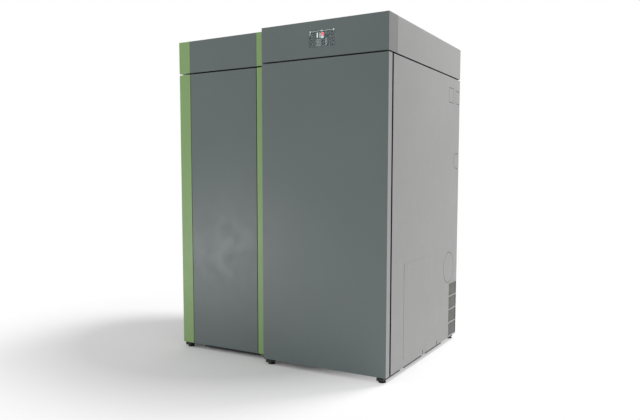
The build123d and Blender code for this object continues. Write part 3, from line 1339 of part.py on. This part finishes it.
dosing_flight_radius = dosing_bore - flight_clearance
dosing_pitch = 60.0
dosing_flight = helix_flight(dosing_shaft_radius - 1.0, dosing_flight_radius, dosing_pitch,
                             dosing_y[1] - dosing_y[0] - 20.0, flight_wall)
shaft_front = sprocket_y - 8.0

with BuildPart() as dosing_auger:
    rod_y(store_x, (shaft_front, dosing_y[1] - 0.5), dosing_z, dosing_shaft_radius)
    with Locations(Location((store_x, dosing_y[1] - 10.0, dosing_z), (90, 0, 0))):
        add(dosing_flight)
    sprocket(dosing_z, dosing_teeth)
dosing_auger.part.label = "dosing_auger"
export_step(dosing_auger.part, "parts/dosing_auger.step")

# Rotary valve and stoker tube in one housing
stoker_x = (stoker_x0, pot_x[0] - hair)

with BuildPart() as stoker_housing:
    block(valve_body_x, valve_body_y, (stoker_z, valve_body_top))
    rod_x(stoker_x, burner_y, stoker_z, tube_outer)
    rod_x((stoker_x[0] - stoker_wall, stoker_x[0]), burner_y, stoker_z, tube_outer + 6.0)
    rod_x(stoker_x, burner_y, stoker_z, stoker_bore, Mode.SUBTRACT)
    rod_x((stoker_x[0] - stoker_wall, stoker_x[0]), burner_y, stoker_z,
          stoker_shaft_radius + running_clearance, Mode.SUBTRACT)
    rod_y(store_x, valve_y, valve_z, valve_bore, Mode.SUBTRACT)
    rod_y(store_x, valve_body_y, valve_z, valve_shaft_radius + running_clearance, Mode.SUBTRACT)
    block(drop_x, drop_y, (valve_z, valve_body_top), Mode.SUBTRACT)
    block((store_x - drop_width / 3, store_x + drop_width / 3), drop_y,
          (stoker_z, valve_z), Mode.SUBTRACT)
stoker_housing.part.label = "stoker_housing"
export_step(stoker_housing.part, "parts/stoker_housing.step")

stoker_flight_radius = stoker_bore - flight_clearance
stoker_pitch = 50.0
stoker_flight = helix_flight(stoker_shaft_radius - 1.0, stoker_flight_radius, stoker_pitch,
                             stoker_x[1] - stoker_x[0] - 20.0, flight_wall)

with BuildPart() as stoker_auger:
    rod_x((stoker_x[0] - stoker_wall + hair, stoker_x[1] - 6.0), burner_y, stoker_z,
          stoker_shaft_radius)
    with Locations(Location((stoker_x[0] + 8.0, burner_y, stoker_z), (0, 90, 0))):
        add(stoker_flight)
stoker_auger.part.label = "stoker_auger"
export_step(stoker_auger.part, "parts/stoker_auger.step")

vanes = 6
vane_wall = 4.0

with BuildPart() as valve_rotor:
    with BuildSketch(Plane.XZ.offset(-burner_y)):
        with Locations((store_x, valve_z)):
            Circle(12.0)
            with PolarLocations(0, vanes):
                with Locations(((valve_bore - 1.0) / 2, 0)):
                    Rectangle(valve_bore - 1.0, vane_wall)
    extrude(amount=valve_depth / 2 - 1.0, both=True)
    rod_y(store_x, (shaft_front, valve_body_y[1] - hair), valve_z, valve_shaft_radius)
    sprocket(valve_z, valve_teeth)
valve_rotor.part.label = "valve_rotor"
export_step(valve_rotor.part, "parts/valve_rotor.step")

with BuildPart() as drive_chain:
    wheels = ((dosing_z, dosing_teeth), (valve_z, valve_teeth))
    for grow, mode in ((chain_clearance + chain_thickness, Mode.ADD),
                       (chain_clearance, Mode.SUBTRACT)):
        with BuildSketch(Plane.XZ.offset(-sprocket_y)):
            for z_wheel, teeth in wheels:
                with Locations((store_x, z_wheel)):
                    Circle(teeth * tooth_pitch / (2 * math.pi) + grow)
            make_hull()
        extrude(amount=2.5, both=True, mode=mode)
drive_chain.part.label = "drive_chain"
export_step(drive_chain.part, "parts/drive_chain.step")

# Gear motors, each bolted to what it drives
small_motor_radius = 26.0
small_motor_length = 55.0
fan_motor_radius = 40.0
valve_motor_radius = 34.0

with BuildPart() as drive_motors:
    rod_x(stoker_motor_x, burner_y, stoker_z, motor_radius)
    rod_y(store_x, (valve_body_y[1], valve_body_y[1] + 70.0), valve_z, valve_motor_radius)
    for y_motor, z_motor in ((burner_y, grate_z), (lift_y, lift_shaft_z)):
        rod_x((x_vessel[1], x_vessel[1] + small_motor_length), y_motor, z_motor,
              small_motor_radius)
    rod_y(fan_x, (collector_y[1], collector_y[1] + 42.0), flue_z, fan_motor_radius)
drive_motors.part.label = "drive_motors"
export_step(drive_motors.part, "parts/drive_motors.step")
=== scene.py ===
import json
import math

import bmesh
import bpy
from mathutils import Matrix, Vector


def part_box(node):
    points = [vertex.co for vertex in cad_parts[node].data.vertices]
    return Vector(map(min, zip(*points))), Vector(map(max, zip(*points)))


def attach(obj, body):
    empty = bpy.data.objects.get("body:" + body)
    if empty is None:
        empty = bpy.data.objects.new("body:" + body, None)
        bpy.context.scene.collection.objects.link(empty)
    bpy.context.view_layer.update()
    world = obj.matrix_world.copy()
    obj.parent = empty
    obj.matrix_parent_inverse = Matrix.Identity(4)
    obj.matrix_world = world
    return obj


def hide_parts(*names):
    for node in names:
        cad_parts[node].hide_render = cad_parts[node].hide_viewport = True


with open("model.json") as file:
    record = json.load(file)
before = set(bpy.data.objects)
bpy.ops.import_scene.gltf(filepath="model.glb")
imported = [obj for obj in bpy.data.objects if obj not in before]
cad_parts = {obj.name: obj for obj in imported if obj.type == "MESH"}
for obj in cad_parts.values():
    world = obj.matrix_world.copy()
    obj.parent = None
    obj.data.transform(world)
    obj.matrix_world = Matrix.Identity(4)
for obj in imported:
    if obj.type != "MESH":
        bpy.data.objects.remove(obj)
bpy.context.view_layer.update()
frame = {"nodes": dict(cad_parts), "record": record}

# Places in metres: front towards -Y, +Z up, origin on the floor under the cabinet's middle
GLASS_LOW, GLASS_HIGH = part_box("display_glass")
CABINET_BODY = "cabinet"

# A near-black strip beside the boiler door, on the folded front edge of the side panel: painted
# shade in that gap
SHADE_STRIP_X = (0.5386, 0.5584)
SHADE_STRIP_Y = (-0.4495, -0.4481)
SHADE_STRIP_Z = (0.030, 1.334)
SHADE_STRIP_ROUNDING = 0.0003

# The view of the photograph
CAMERA_PLACE = (1.591, -2.8909, 0.8429)
CAMERA_YAW = -0.52706
CAMERA_PITCH = -0.08385
CAMERA_LENS = 36.52
CAMERA_SENSOR = 36.0
CAMERA_SHIFT = (0.0172, 0.0345)
CAMERA_REACH = 100.0

# The share of a lit colour that the display shows when it is off
DISPLAY_DULL = 0.15

# Light, at which a colour renders about as it is written
WHITE = (1.0, 1.0, 1.0, 1.0)
SKY_LEVEL = 0.62
FLOOR_COLOR = (0.86, 0.86, 0.86, 1.0)
FLOOR_SIZE = 40.0
FLOOR_FADE_CENTRE = (-0.50, -0.14)
FLOOR_NEAR = 0.74
FLOOR_FAR = 1.50
FLOOR_LIFT = 0.06

# Lamps: name, place, the point it is aimed at, size, power, and whether gloss mirrors it
LAMPS = (
    ("key_high", (1.5, 1.7, 4.8), (-0.1, -0.2, 0.0), 1.3, 150.0, False),
    ("rear_right", (1.8, 1.8, 2.3), (0.56, 0.3, 1.1), 1.2, 17.0, False),
    ("front_left", (-2.6, -4.2, 2.4), (-0.2, -0.4, 0.8), 2.6, 32.0, False),
    ("front_low", (-2.3, -3.05, 0.0), (-0.3, -0.45, 0.40), 0.7, 9.0, True),
)


def look_along(yaw, pitch):
    """The rotation of a camera that looks along yaw from +Y and pitch above level."""
    forward = Vector((math.sin(yaw) * math.cos(pitch), math.cos(yaw) * math.cos(pitch),
                      math.sin(pitch)))
    return forward.to_track_quat("-Z", "Y").to_euler()


class Graph:
    """A material's node tree, with short calls for the nodes that the surfaces share."""

    def __init__(self, name):
        self.material = bpy.data.materials.new(name)
        self.material.use_nodes = True
        self.tree = self.material.node_tree
        self.tree.nodes.clear()
        self.output = self.node("ShaderNodeOutputMaterial")
        self.place = self.node("ShaderNodeTexCoord").outputs["Object"]

    def node(self, kind, **sockets):
        """A new node. A socket's value is a constant, or another node's output to link."""
        made = self.tree.nodes.new(kind)
        for name, value in sockets.items():
            socket = made.inputs[name.replace("_", " ")]
            if isinstance(value, bpy.types.NodeSocket):
                self.tree.links.new(value, socket)
            else:
                socket.default_value = value
        return made

    def noise(self, scale, detail=3.0, roughness=0.55, stretch=(1.0, 1.0, 1.0)):
        """Smooth noise from 0 to 1 whose cells are about 1 / scale metres."""
        spread = self.node("ShaderNodeMapping", Vector=self.place, Scale=stretch)
        made = self.node("ShaderNodeTexNoise", Vector=spread.outputs[0], Scale=scale,
                         Detail=detail, Roughness=roughness)
        return made.outputs["Fac"]

    def remap(self, value, low, high, start=0.3, end=0.7):
        """A value between start and end, turned into one between low and high."""
        made = self.node("ShaderNodeMapRange", Value=value)
        for name, number in zip(("From Min", "From Max", "To Min", "To Max"),
                                (start, end, low, high)):
            made.inputs[name].default_value = number
        return made.outputs["Result"]

    def math(self, operation, a, b):
        """Two values joined by one operation."""
        made = self.tree.nodes.new("ShaderNodeMath")
        made.operation = operation
        for socket, value in zip(made.inputs, (a, b)):
            if isinstance(value, bpy.types.NodeSocket):
                self.tree.links.new(value, socket)
            else:
                socket.default_value = value
        return made.outputs[0]

    def shade(self, color, factor):
        """A colour made lighter or darker by a factor."""
        return self.node("ShaderNodeHueSaturation", Color=(*color, 1.0),
                         Value=factor).outputs["Color"]

    def blend(self, factor, color_a, color_b):
        """Two colours mixed by a factor."""
        made = self.tree.nodes.new("ShaderNodeMix")
        made.data_type = "RGBA"
        self.tree.links.new(factor, made.inputs["Factor"])
        for name, value in (("A", color_a), ("B", color_b)):
            socket = [s for s in made.inputs if s.name == name and s.type == "RGBA"][0]
            if isinstance(value, bpy.types.NodeSocket):
                self.tree.links.new(value, socket)
            else:
                socket.default_value = (*value, 1.0)
        return [s for s in made.outputs if s.type == "RGBA"][0]

    def edge(self, radius):
        """1 at a sharp edge and 0 on a flat surface, over about radius."""
        round_normal = self.node("ShaderNodeBevel", Radius=radius).outputs["Normal"]
        flat_normal = self.node("ShaderNodeNewGeometry").outputs["Normal"]
        made = self.tree.nodes.new("ShaderNodeVectorMath")
        made.operation = "DOT_PRODUCT"
        self.tree.links.new(round_normal, made.inputs[0])
        self.tree.links.new(flat_normal, made.inputs[1])
        return self.remap(made.outputs["Value"], 1.0, 0.0, 0.80, 0.995)

    def bump(self, height, distance, under=None):
        """A normal raised by height times distance in metres."""
        sockets = {"Height": height, "Distance": distance, "Strength": 1.0}
        if under is not None:
            sockets["Normal"] = under
        return self.node("ShaderNodeBump", **sockets).outputs["Normal"]

    def finish(self, color, roughness, normal, metallic=0.0, specular=0.5, **more):
        """The surface shader, joined to the output."""
        sockets = {"Base Color": color, "Roughness": roughness, "Normal": normal,
                   "Metallic": metallic, "Specular IOR Level": specular}
        sockets.update(more)
        made = self.tree.nodes.new("ShaderNodeBsdfPrincipled")
        for name, value in sockets.items():
            if isinstance(value, bpy.types.NodeSocket):
                self.tree.links.new(value, made.inputs[name])
            else:
                made.inputs[name].default_value = value
        self.tree.links.new(made.outputs[0], self.output.inputs["Surface"])
        return self.material


def powder_coat(name, color, roughness, sheen_and_wear_color, mottle=0.05, grain=0.00003, specular=0.5,
                scored=False):
    """Satin powder coat: a fine orange peel, faint cloudiness, and edges painted lighter, partly as
    a painted highlight and partly as wear.

    Where the sheet is scored, the lines below its outer face are painted dark: painted shade in the
    grooves.
    """
    g = Graph(name)
    clouds = g.noise(2.2, 4.0)
    specks = g.noise(420.0, 2.0)
    tone = g.math("ADD", g.remap(clouds, 1.0 - mottle, 1.0 + mottle),
                  g.remap(specks, -0.6 * mottle, 0.6 * mottle))
    base = g.shade(color, tone)
    # Edges painted lighter: a painted highlight, broken up by noise like chipped coat
    sheen_and_chips = g.math("MULTIPLY", g.edge(0.0012), g.remap(g.noise(60.0, 3.0), 0.35, 1.0))
    base = g.blend(g.math("MULTIPLY", sheen_and_chips, EDGE_SHEEN_AND_WEAR), base, sheen_and_wear_color)
    if scored:
        across = g.node("ShaderNodeSeparateXYZ", Vector=g.place).outputs["X"]
        outward = g.math("ABSOLUTE", across, 0.0)
        below = g.remap(outward, 1.0, 0.0, *SCORE_EDGE)
        above = g.remap(outward, 0.0, 1.0, *SCORE_FLOOR)
        # Painted shade: the scored grooves below the outer face are darkened
        base = g.blend(g.math("MULTIPLY", below, above), base, SCORE_SHADE)
    rough = g.remap(g.noise(14.0, 5.0), roughness - 0.04, roughness + 0.05)
    return g.finish(base, rough, g.bump(g.noise(750.0, 2.0), grain), specular=specular)


def frame_paint(name, color):
    """Thin black paint on folded steel, dusty on its flats; its near black also paints the shade in
    the gaps and under the panels.
    """
    g = Graph(name)
    dust = g.remap(g.noise(24.0, 6.0), 0.0, 0.10, 0.45, 0.75)
    base = g.blend(dust, color, (0.30, 0.29, 0.27))
    rough = g.remap(g.noise(40.0, 4.0), 0.50, 0.68)
    return g.finish(base, rough, g.bump(g.noise(500.0, 3.0), 0.00005))


def zinc(name, color):
    """Galvanised sheet with its crystals, and dull streaks."""
    g = Graph(name)
    cells = g.node("ShaderNodeTexVoronoi", Vector=g.place, Scale=85.0)
    crystal = g.node("ShaderNodeSeparateColor", Color=cells.outputs["Color"]).outputs[0]
    streaks = g.noise(5.0, 4.0, stretch=(1.0, 1.0, 0.15))
    tone = g.math("ADD", g.remap(crystal, 0.86, 1.08, 0.0, 1.0), g.remap(streaks, -0.08, 0.08))
    rough = g.math("ADD", g.remap(crystal, 0.30, 0.44, 0.0, 1.0), g.remap(streaks, -0.04, 0.06))
    return g.finish(g.shade(color, tone), rough, g.bump(cells.outputs["Distance"], 0.00003),
                    metallic=0.9)


def turned_steel(name, color, roughness, rust):
    """Bare steel with fine machining lines and light staining."""
    g = Graph(name)
    lines = g.noise(900.0, 2.0, stretch=(1.0, 0.05, 1.0))
    stains = g.noise(30.0, 6.0)
    base = g.blend(g.remap(stains, 0.0, rust, 0.5, 0.8), g.shade(color, g.remap(lines, 0.9, 1.08)),
                   (0.20, 0.10, 0.05))
    rough = g.math("ADD", g.remap(stains, -0.05, 0.12), roughness)
    return g.finish(base, rough, g.bump(lines, 0.00003), metallic=1.0)


def casting(name, color):
    """Sand-cast iron: coarse grain, with soot on it."""
    g = Graph(name)
    soot = g.remap(g.noise(18.0, 6.0), 0.0, 0.6)
    base = g.blend(soot, g.shade(color, g.remap(g.noise(300.0, 4.0), 0.8, 1.25)),
                   (0.015, 0.014, 0.013))
    coarse = g.bump(g.noise(160.0, 6.0), 0.0005)
    normal = g.bump(g.noise(700.0, 3.0), 0.0002, under=coarse)
    return g.finish(base, g.remap(soot, 0.55, 0.85, 0.0, 0.6), normal, metallic=0.5)


def heat_paint(name, color):
    """Heat-proof paint on welded plate, with faint rolling marks and heat staining."""
    g = Graph(name)
    heat = g.noise(4.0, 5.0)
    base = g.blend(g.remap(heat, 0.0, 0.45, 0.45, 0.8),
                   g.shade(color, g.remap(g.noise(90.0, 4.0), 0.85, 1.2)), (0.15, 0.12, 0.10))
    return g.finish(base, g.remap(g.noise(60.0, 5.0), 0.52, 0.72),
                    g.bump(g.noise(240.0, 4.0), 0.00012), metallic=0.25)


def fired_clay(name, color):
    """Pressed refractory board, pitted and sooted."""
    g = Graph(name)
    pits = g.node("ShaderNodeTexVoronoi", Vector=g.place, Scale=140.0).outputs["Distance"]
    soot = g.remap(g.noise(9.0, 5.0), 0.0, 0.55, 0.42, 0.75)
    base = g.blend(soot, g.shade(color, g.remap(g.noise(70.0, 5.0), 0.85, 1.1)),
                   (0.09, 0.08, 0.075))
    normal = g.bump(pits, 0.0006, under=g.bump(g.noise(400.0, 4.0), 0.0003))
    return g.finish(base, g.remap(pits, 0.95, 0.8, 0.0, 0.5), normal, specular=0.25)


def moulded(name, color, roughness, spark=0.00004):
    """Moulded plastic or rubber with an eroded texture."""
    g = Graph(name)
    grain = g.noise(1100.0, 2.0)
    tone = g.math("ADD", g.remap(g.noise(11.0, 3.0), 0.93, 1.07), g.remap(grain, -0.05, 0.05))
    rough = g.remap(g.noise(25.0, 4.0), roughness - 0.06, roughness + 0.08)
    return g.finish(g.shade(color, tone), rough, g.bump(grain, spark), specular=0.4)


def cover_glass(name):
    """Clear cover glass, coated against reflections, with a faint smear."""
    g = Graph(name)
    smear = g.remap(g.noise(12.0, 2.0), 0.0, 0.03)
    return g.finish((0.94, 0.96, 0.96, 1.0), smear, g.bump(g.noise(4.0, 1.0), 0.000002),
                    **{"Transmission Weight": 1.0, "IOR": 1.18})


FRONT_DARK = (0.094, 0.122, 0.120)
STRIP_GREEN = (0.205, 0.352, 0.115)
CASE_GREY = (0.335, 0.334, 0.332)
GREY_COAT = {"roughness": 0.46, "mottle": 0.035}
FRONT_COAT = {"grain": 0.00001, "specular": 0.95}

# The share of the lighter edge colour laid on the edges: a painted highlight, broken up like worn
# coat
EDGE_SHEEN_AND_WEAR = 0.16

# Distances from the middle of the cabinet between which a scored line is painted dark as shade, as
# the start and end of each slope, and the colour of that painted shade
SCORE_EDGE = (0.5588, 0.5591)
SCORE_FLOOR = (0.5574, 0.5577)
SCORE_SHADE = (0.010, 0.010, 0.010)

SURFACES = {
    "front_dark": powder_coat("front_dark", FRONT_DARK, 0.34, (0.42, 0.45, 0.44), **FRONT_COAT),
    "strip_green": powder_coat("strip_green", STRIP_GREEN, 0.36, (0.55, 0.68, 0.42), **FRONT_COAT),
    "case_grey": powder_coat("case_grey", CASE_GREY, sheen_and_wear_color=(0.72, 0.72, 0.71), **GREY_COAT),
    # Near black, darker than black paint alone: it also stands in for the shade in the gaps and
    # under the panels
    "frame_black": frame_paint("frame_black", (0.012, 0.012, 0.013)),
    "foot_rubber": moulded("foot_rubber", (0.020, 0.020, 0.021), 0.72, 0.0001),
    "screw_steel": turned_steel("screw_steel", (0.56, 0.56, 0.55), 0.30, rust=0.10),
    "grille_grey": moulded("grille_grey", (0.245, 0.250, 0.238), 0.52),
    "catch_plastic": moulded("catch_plastic", (0.030, 0.031, 0.032), 0.45),
    "display_glass": cover_glass("display_glass"),
    "vessel_steel": heat_paint("vessel_steel", (0.075, 0.077, 0.080)),
    "cast_iron": casting("cast_iron", (0.105, 0.098, 0.092)),
    "fireclay": fired_clay("fireclay", (0.60, 0.50, 0.38)),
    "zinc_sheet": zinc("zinc_sheet", (0.60, 0.61, 0.62)),
    "wheel_steel": turned_steel("wheel_steel", (0.44, 0.43, 0.42), 0.38, rust=0.35),
    "turbine_plastic": moulded("turbine_plastic", (0.062, 0.066, 0.070), 0.42),
    "pipe_brass": turned_steel("pipe_brass", (0.62, 0.44, 0.20), 0.30, rust=0.15),
}

# Nodes whose surface differs from the rest of their slot
OWN_SURFACES = {
    "side_panel_right": powder_coat("side_scored", CASE_GREY, sheen_and_wear_color=(0.72, 0.72, 0.71),
                                    scored=True, **GREY_COAT),
    # The fascia is the case grey made darker: painted shade on its sides
    "boiler_fascia": powder_coat("fascia_shaded_grey", (0.232, 0.232, 0.230), sheen_and_wear_color=(0.60, 0.60, 0.59),
                                 **GREY_COAT),
}

# Edges that meet at more than this angle are rounded, in this many steps
SHARP_ANGLE = math.radians(40)
ROUNDING_STEPS = 2

# Sheet metal whose edges are rounded by the coat, and the rounding in metres
ROUNDED = {
    "side_panel_right": 0.0008, "side_panel_left": 0.0008, "access_cover": 0.0005,
    "boiler_hood": 0.0006, "store_hood": 0.0006, "boiler_fascia": 0.0006,
    "vent_grille": 0.0003, "boiler_vessel": 0.0012, "burner_pot": 0.0010,
    "combustion_door": 0.0010, "ash_box": 0.0006, "pellet_hopper": 0.0008,
    "control_unit": 0.0008, "firebox_lining": 0.0015,
}


def dress_frame():
    """Gives every CAD node its material, and rounds the edges that catch the light."""
    for part in frame["record"]["subparts"]:
        piece = frame["nodes"][part["node"]]
        piece.data.materials.clear()
        piece.data.materials.append(OWN_SURFACES.get(part["node"],
                                                     SURFACES[part["material_slot"]]))
    for name, width in ROUNDED.items():
        bevel = frame["nodes"][name].modifiers.new("coat", "BEVEL")
        bevel.width = width
        bevel.segments = ROUNDING_STEPS
        bevel.limit_method = "ANGLE"
        bevel.angle_limit = SHARP_ANGLE
        bevel.harden_normals = False
        bevel.use_clamp_overlap = True


def mesh_piece(name, build, surface):
    """A new mesh that build fills, riding on the cabinet."""
    made = bmesh.new()
    build(made)
    data = bpy.data.meshes.new(name)
    made.to_mesh(data)
    made.free()
    piece = bpy.data.objects.new(name, data)
    bpy.context.scene.collection.objects.link(piece)
    data.materials.append(surface)
    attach(piece, CABINET_BODY)
    return piece


def plate(made, x, y, z, bevel=0.0):
    """A box between two values along each axis, with its edges rounded by bevel."""
    size = (x[1] - x[0], y[1] - y[0], z[1] - z[0])
    centre = Vector(((x[0] + x[1]) / 2, (y[0] + y[1]) / 2, (z[0] + z[1]) / 2))
    cube = bmesh.ops.create_cube(made, size=1.0,
                                 matrix=Matrix.Translation(centre) @ Matrix.Diagonal((*size, 1.0)))
    if bevel:
        edges = list({e for v in cube["verts"] for e in v.link_edges})
        bmesh.ops.bevel(made, geom=edges, offset=bevel, segments=ROUNDING_STEPS, profile=0.6,
                        affect="EDGES")


def build_shade_strip():
    """A near-black strip on the folded edge that the boiler door closes against, painting the shade
    in that gap.
    """
    def strip(made):
        plate(made, SHADE_STRIP_X, SHADE_STRIP_Y, SHADE_STRIP_Z, SHADE_STRIP_ROUNDING)

    # Near-black strip: painted shade in the gap beside the door
    mesh_piece("side_shade_strip", strip,
               surface=moulded("shade_strip_black", (0.008, 0.008, 0.008), 0.85, 0.0003))


# The display's picture, bonded behind its cover glass. Across runs from 0 at the left edge of the
# glass to 1, and down from 0 at its top to 1.
COVER_BACK = GLASS_LOW[1] + 0.5 * (GLASS_HIGH[1] - GLASS_LOW[1])
PICTURE_FRONT = COVER_BACK + 0.00005
PICTURE_BACK = PICTURE_FRONT + 0.00020
COVER_ROUNDING = 0.0002


def on_glass(across, down):
    """The place on the picture at these shares of the glass."""
    x = GLASS_LOW[0] + across * (GLASS_HIGH[0] - GLASS_LOW[0])
    z = GLASS_HIGH[2] - down * (GLASS_HIGH[2] - GLASS_LOW[2])
    return x, z


def lit(name, color):
    """A lit part of the picture, faintly uneven as a display is."""
    g = Graph(name)
    tone = g.remap(g.noise(900.0, 2.0), 0.92, 1.06)
    dull = tuple(DISPLAY_DULL * channel for channel in color)
    return g.finish(g.shade(dull, tone), g.remap(tone, 0.45, 0.55, 0.92, 1.06),
                    g.bump(g.noise(2000.0), 0.000005),
                    **{"Emission Color": g.shade(color, tone), "Emission Strength": 1.0})


def picture_part(name, boxes, color):
    """Lit areas of the picture, each given as across and down from low to high."""
    def build(made):
        for (a0, a1), (d0, d1) in boxes:
            x0, z1 = on_glass(a0, d0)
            x1, z0 = on_glass(a1, d1)
            plate(made, (x0, x1), (PICTURE_FRONT, PICTURE_BACK), (z0, z1))
    mesh_piece(name, build, surface=lit(name, color))


def build_display():
    """The display's cover glass, and its panel with icons, bar, furnace picture and list."""
    def cover_build(made):
        plate(made, (GLASS_LOW[0], GLASS_HIGH[0]), (GLASS_LOW[1], COVER_BACK),
              (GLASS_LOW[2], GLASS_HIGH[2]), COVER_ROUNDING)

    def panel_build(made):
        plate(made, (GLASS_LOW[0] + COVER_ROUNDING, GLASS_HIGH[0] - COVER_ROUNDING),
              (PICTURE_BACK, GLASS_HIGH[1]),
              (GLASS_LOW[2] + COVER_ROUNDING, GLASS_HIGH[2] - COVER_ROUNDING))

    cover = mesh_piece("display_cover", cover_build,
                       surface=SURFACES["display_glass"])
    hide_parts("display_glass")
    mesh_piece("display_panel", panel_build,
               surface=lit("display_panel", (0.040, 0.055, 0.057)))

    icons = [((0.45 + 0.036 * k, 0.472 + 0.036 * k), (0.025, 0.095)) for k in range(3)]
    icons += [((0.02, 0.055), (0.03, 0.12)), ((0.02, 0.04), (0.15, 0.26)),
              ((0.93, 0.98), (0.02, 0.10)), ((0.295, 0.345), (0.16, 0.45))]
    picture_part("display_icons", icons, (0.66, 0.70, 0.68))
    picture_part("display_line", [((0.06, 0.43), (0.055, 0.069)), ((0.56, 0.92), (0.055, 0.069))],
                 (0.60, 0.66, 0.64))
    rows = [0.555 + 0.088 * k for k in range(5)]
    picture_part("display_labels", [((0.28, 0.455), (d, d + 0.040)) for d in rows],
                 (0.22, 0.26, 0.26))
    picture_part("display_values", [((0.645, 0.685), (d - 0.006, d + 0.046)) for d in rows],
                 (0.32, 0.37, 0.37))
    picture_part("display_rules", [((0.11, 0.88), (d + 0.060, d + 0.070)) for d in rows],
                 (0.095, 0.118, 0.120))
    picture_part("display_furnace_body", [((0.395, 0.478), (0.17, 0.48))], (0.30, 0.33, 0.33))
    picture_part("display_furnace_fire", [((0.478, 0.580), (0.16, 0.375))], (0.80, 0.15, 0.17))
    picture_part("display_furnace_water", [((0.478, 0.570), (0.375, 0.50))], (0.48, 0.68, 0.74))


def build_stage():
    """A white floor that keeps the object's shadow and runs out into plain white."""
    g = Graph("floor")
    ray = g.node("ShaderNodeLightPath")
    seen = g.math("MAXIMUM", ray.outputs["Is Camera Ray"], ray.outputs["Is Transmission Ray"])
    seen = g.math("MAXIMUM", seen, ray.outputs["Is Glossy Ray"])
    flat = g.node("ShaderNodeMapping", Vector=g.place, Scale=(1.0, 1.0, 0.0),
                  Location=(-FLOOR_FADE_CENTRE[0], -FLOOR_FADE_CENTRE[1], 0.0)).outputs[0]
    reach = g.node("ShaderNodeVectorMath")
    reach.operation = "LENGTH"
    g.tree.links.new(flat, reach.inputs[0])
    away = g.remap(reach.outputs["Value"], 0.0, 1.0, FLOOR_NEAR, FLOOR_FAR)
    matt = g.node("ShaderNodeBsdfDiffuse", Color=FLOOR_COLOR)
    lift = g.node("ShaderNodeEmission", Color=WHITE,
                  Strength=g.math("MULTIPLY", seen, FLOOR_LIFT))
    near = g.node("ShaderNodeAddShader")
    g.tree.links.new(matt.outputs[0], near.inputs[0])
    g.tree.links.new(lift.outputs[0], near.inputs[1])
    white = g.node("ShaderNodeEmission", Color=WHITE, Strength=1.0)
    mixed = g.node("ShaderNodeMixShader", Fac=g.math("MULTIPLY", away, seen))
    g.tree.links.new(near.outputs[0], mixed.inputs[1])
    g.tree.links.new(white.outputs[0], mixed.inputs[2])
    g.tree.links.new(mixed.outputs[0], g.output.inputs["Surface"])

    made = bmesh.new()
    bmesh.ops.create_grid(made, x_segments=1, y_segments=1, size=FLOOR_SIZE / 2)
    data = bpy.data.meshes.new("floor")
    made.to_mesh(data)
    made.free()
    floor = bpy.data.objects.new("floor", data)
    bpy.context.scene.collection.objects.link(floor)
    data.materials.append(g.material)

    world = bpy.data.worlds.new("studio")
    bpy.context.scene.world = world
    world.use_nodes = True
    tree = world.node_tree
    sky = tree.nodes["Background"]
    sky.inputs["Color"].default_value = WHITE
    path = tree.nodes.new("ShaderNodeLightPath")
    shown = tree.nodes.new("ShaderNodeMath")
    shown.operation = "MAXIMUM"
    tree.links.new(path.outputs["Is Camera Ray"], shown.inputs[0])
    tree.links.new(path.outputs["Is Transmission Ray"], shown.inputs[1])
    level = tree.nodes.new("ShaderNodeMapRange")
    level.inputs["To Min"].default_value = SKY_LEVEL
    level.inputs["To Max"].default_value = 1.0
    tree.links.new(shown.outputs[0], level.inputs["Value"])
    tree.links.new(level.outputs["Result"], sky.inputs["Strength"])


def lamp(name, place, aim, size, power, mirrored):
    """A square soft lamp at place, aimed at a point, that glossy surfaces may mirror."""
    data = bpy.data.lights.new(name, "AREA")
    data.size = size
    data.energy = power
    made = bpy.data.objects.new(name, data)
    made.location = place
    made.rotation_euler = (Vector(aim) - Vector(place)).to_track_quat("-Z", "Y").to_euler()
    made.visible_camera = False
    made.visible_glossy = mirrored
    bpy.context.scene.collection.objects.link(made)


def build_light_and_camera():
    """Soft studio lamps, and the camera of the photograph."""
    for row in LAMPS:
        lamp(*row)
    data = bpy.data.cameras.new("view")
    data.lens = CAMERA_LENS
    data.sensor_width = CAMERA_SENSOR
    data.shift_x, data.shift_y = CAMERA_SHIFT
    data.clip_end = CAMERA_REACH
    made = bpy.data.objects.new("view", data)
    made.location = CAMERA_PLACE
    made.rotation_euler = look_along(CAMERA_YAW, CAMERA_PITCH)
    bpy.context.scene.collection.objects.link(made)
    bpy.context.scene.camera = made
    bpy.context.scene.view_settings.view_transform = "Standard"


dress_frame()
build_shade_strip()
build_display()
build_stage()
build_light_and_camera()
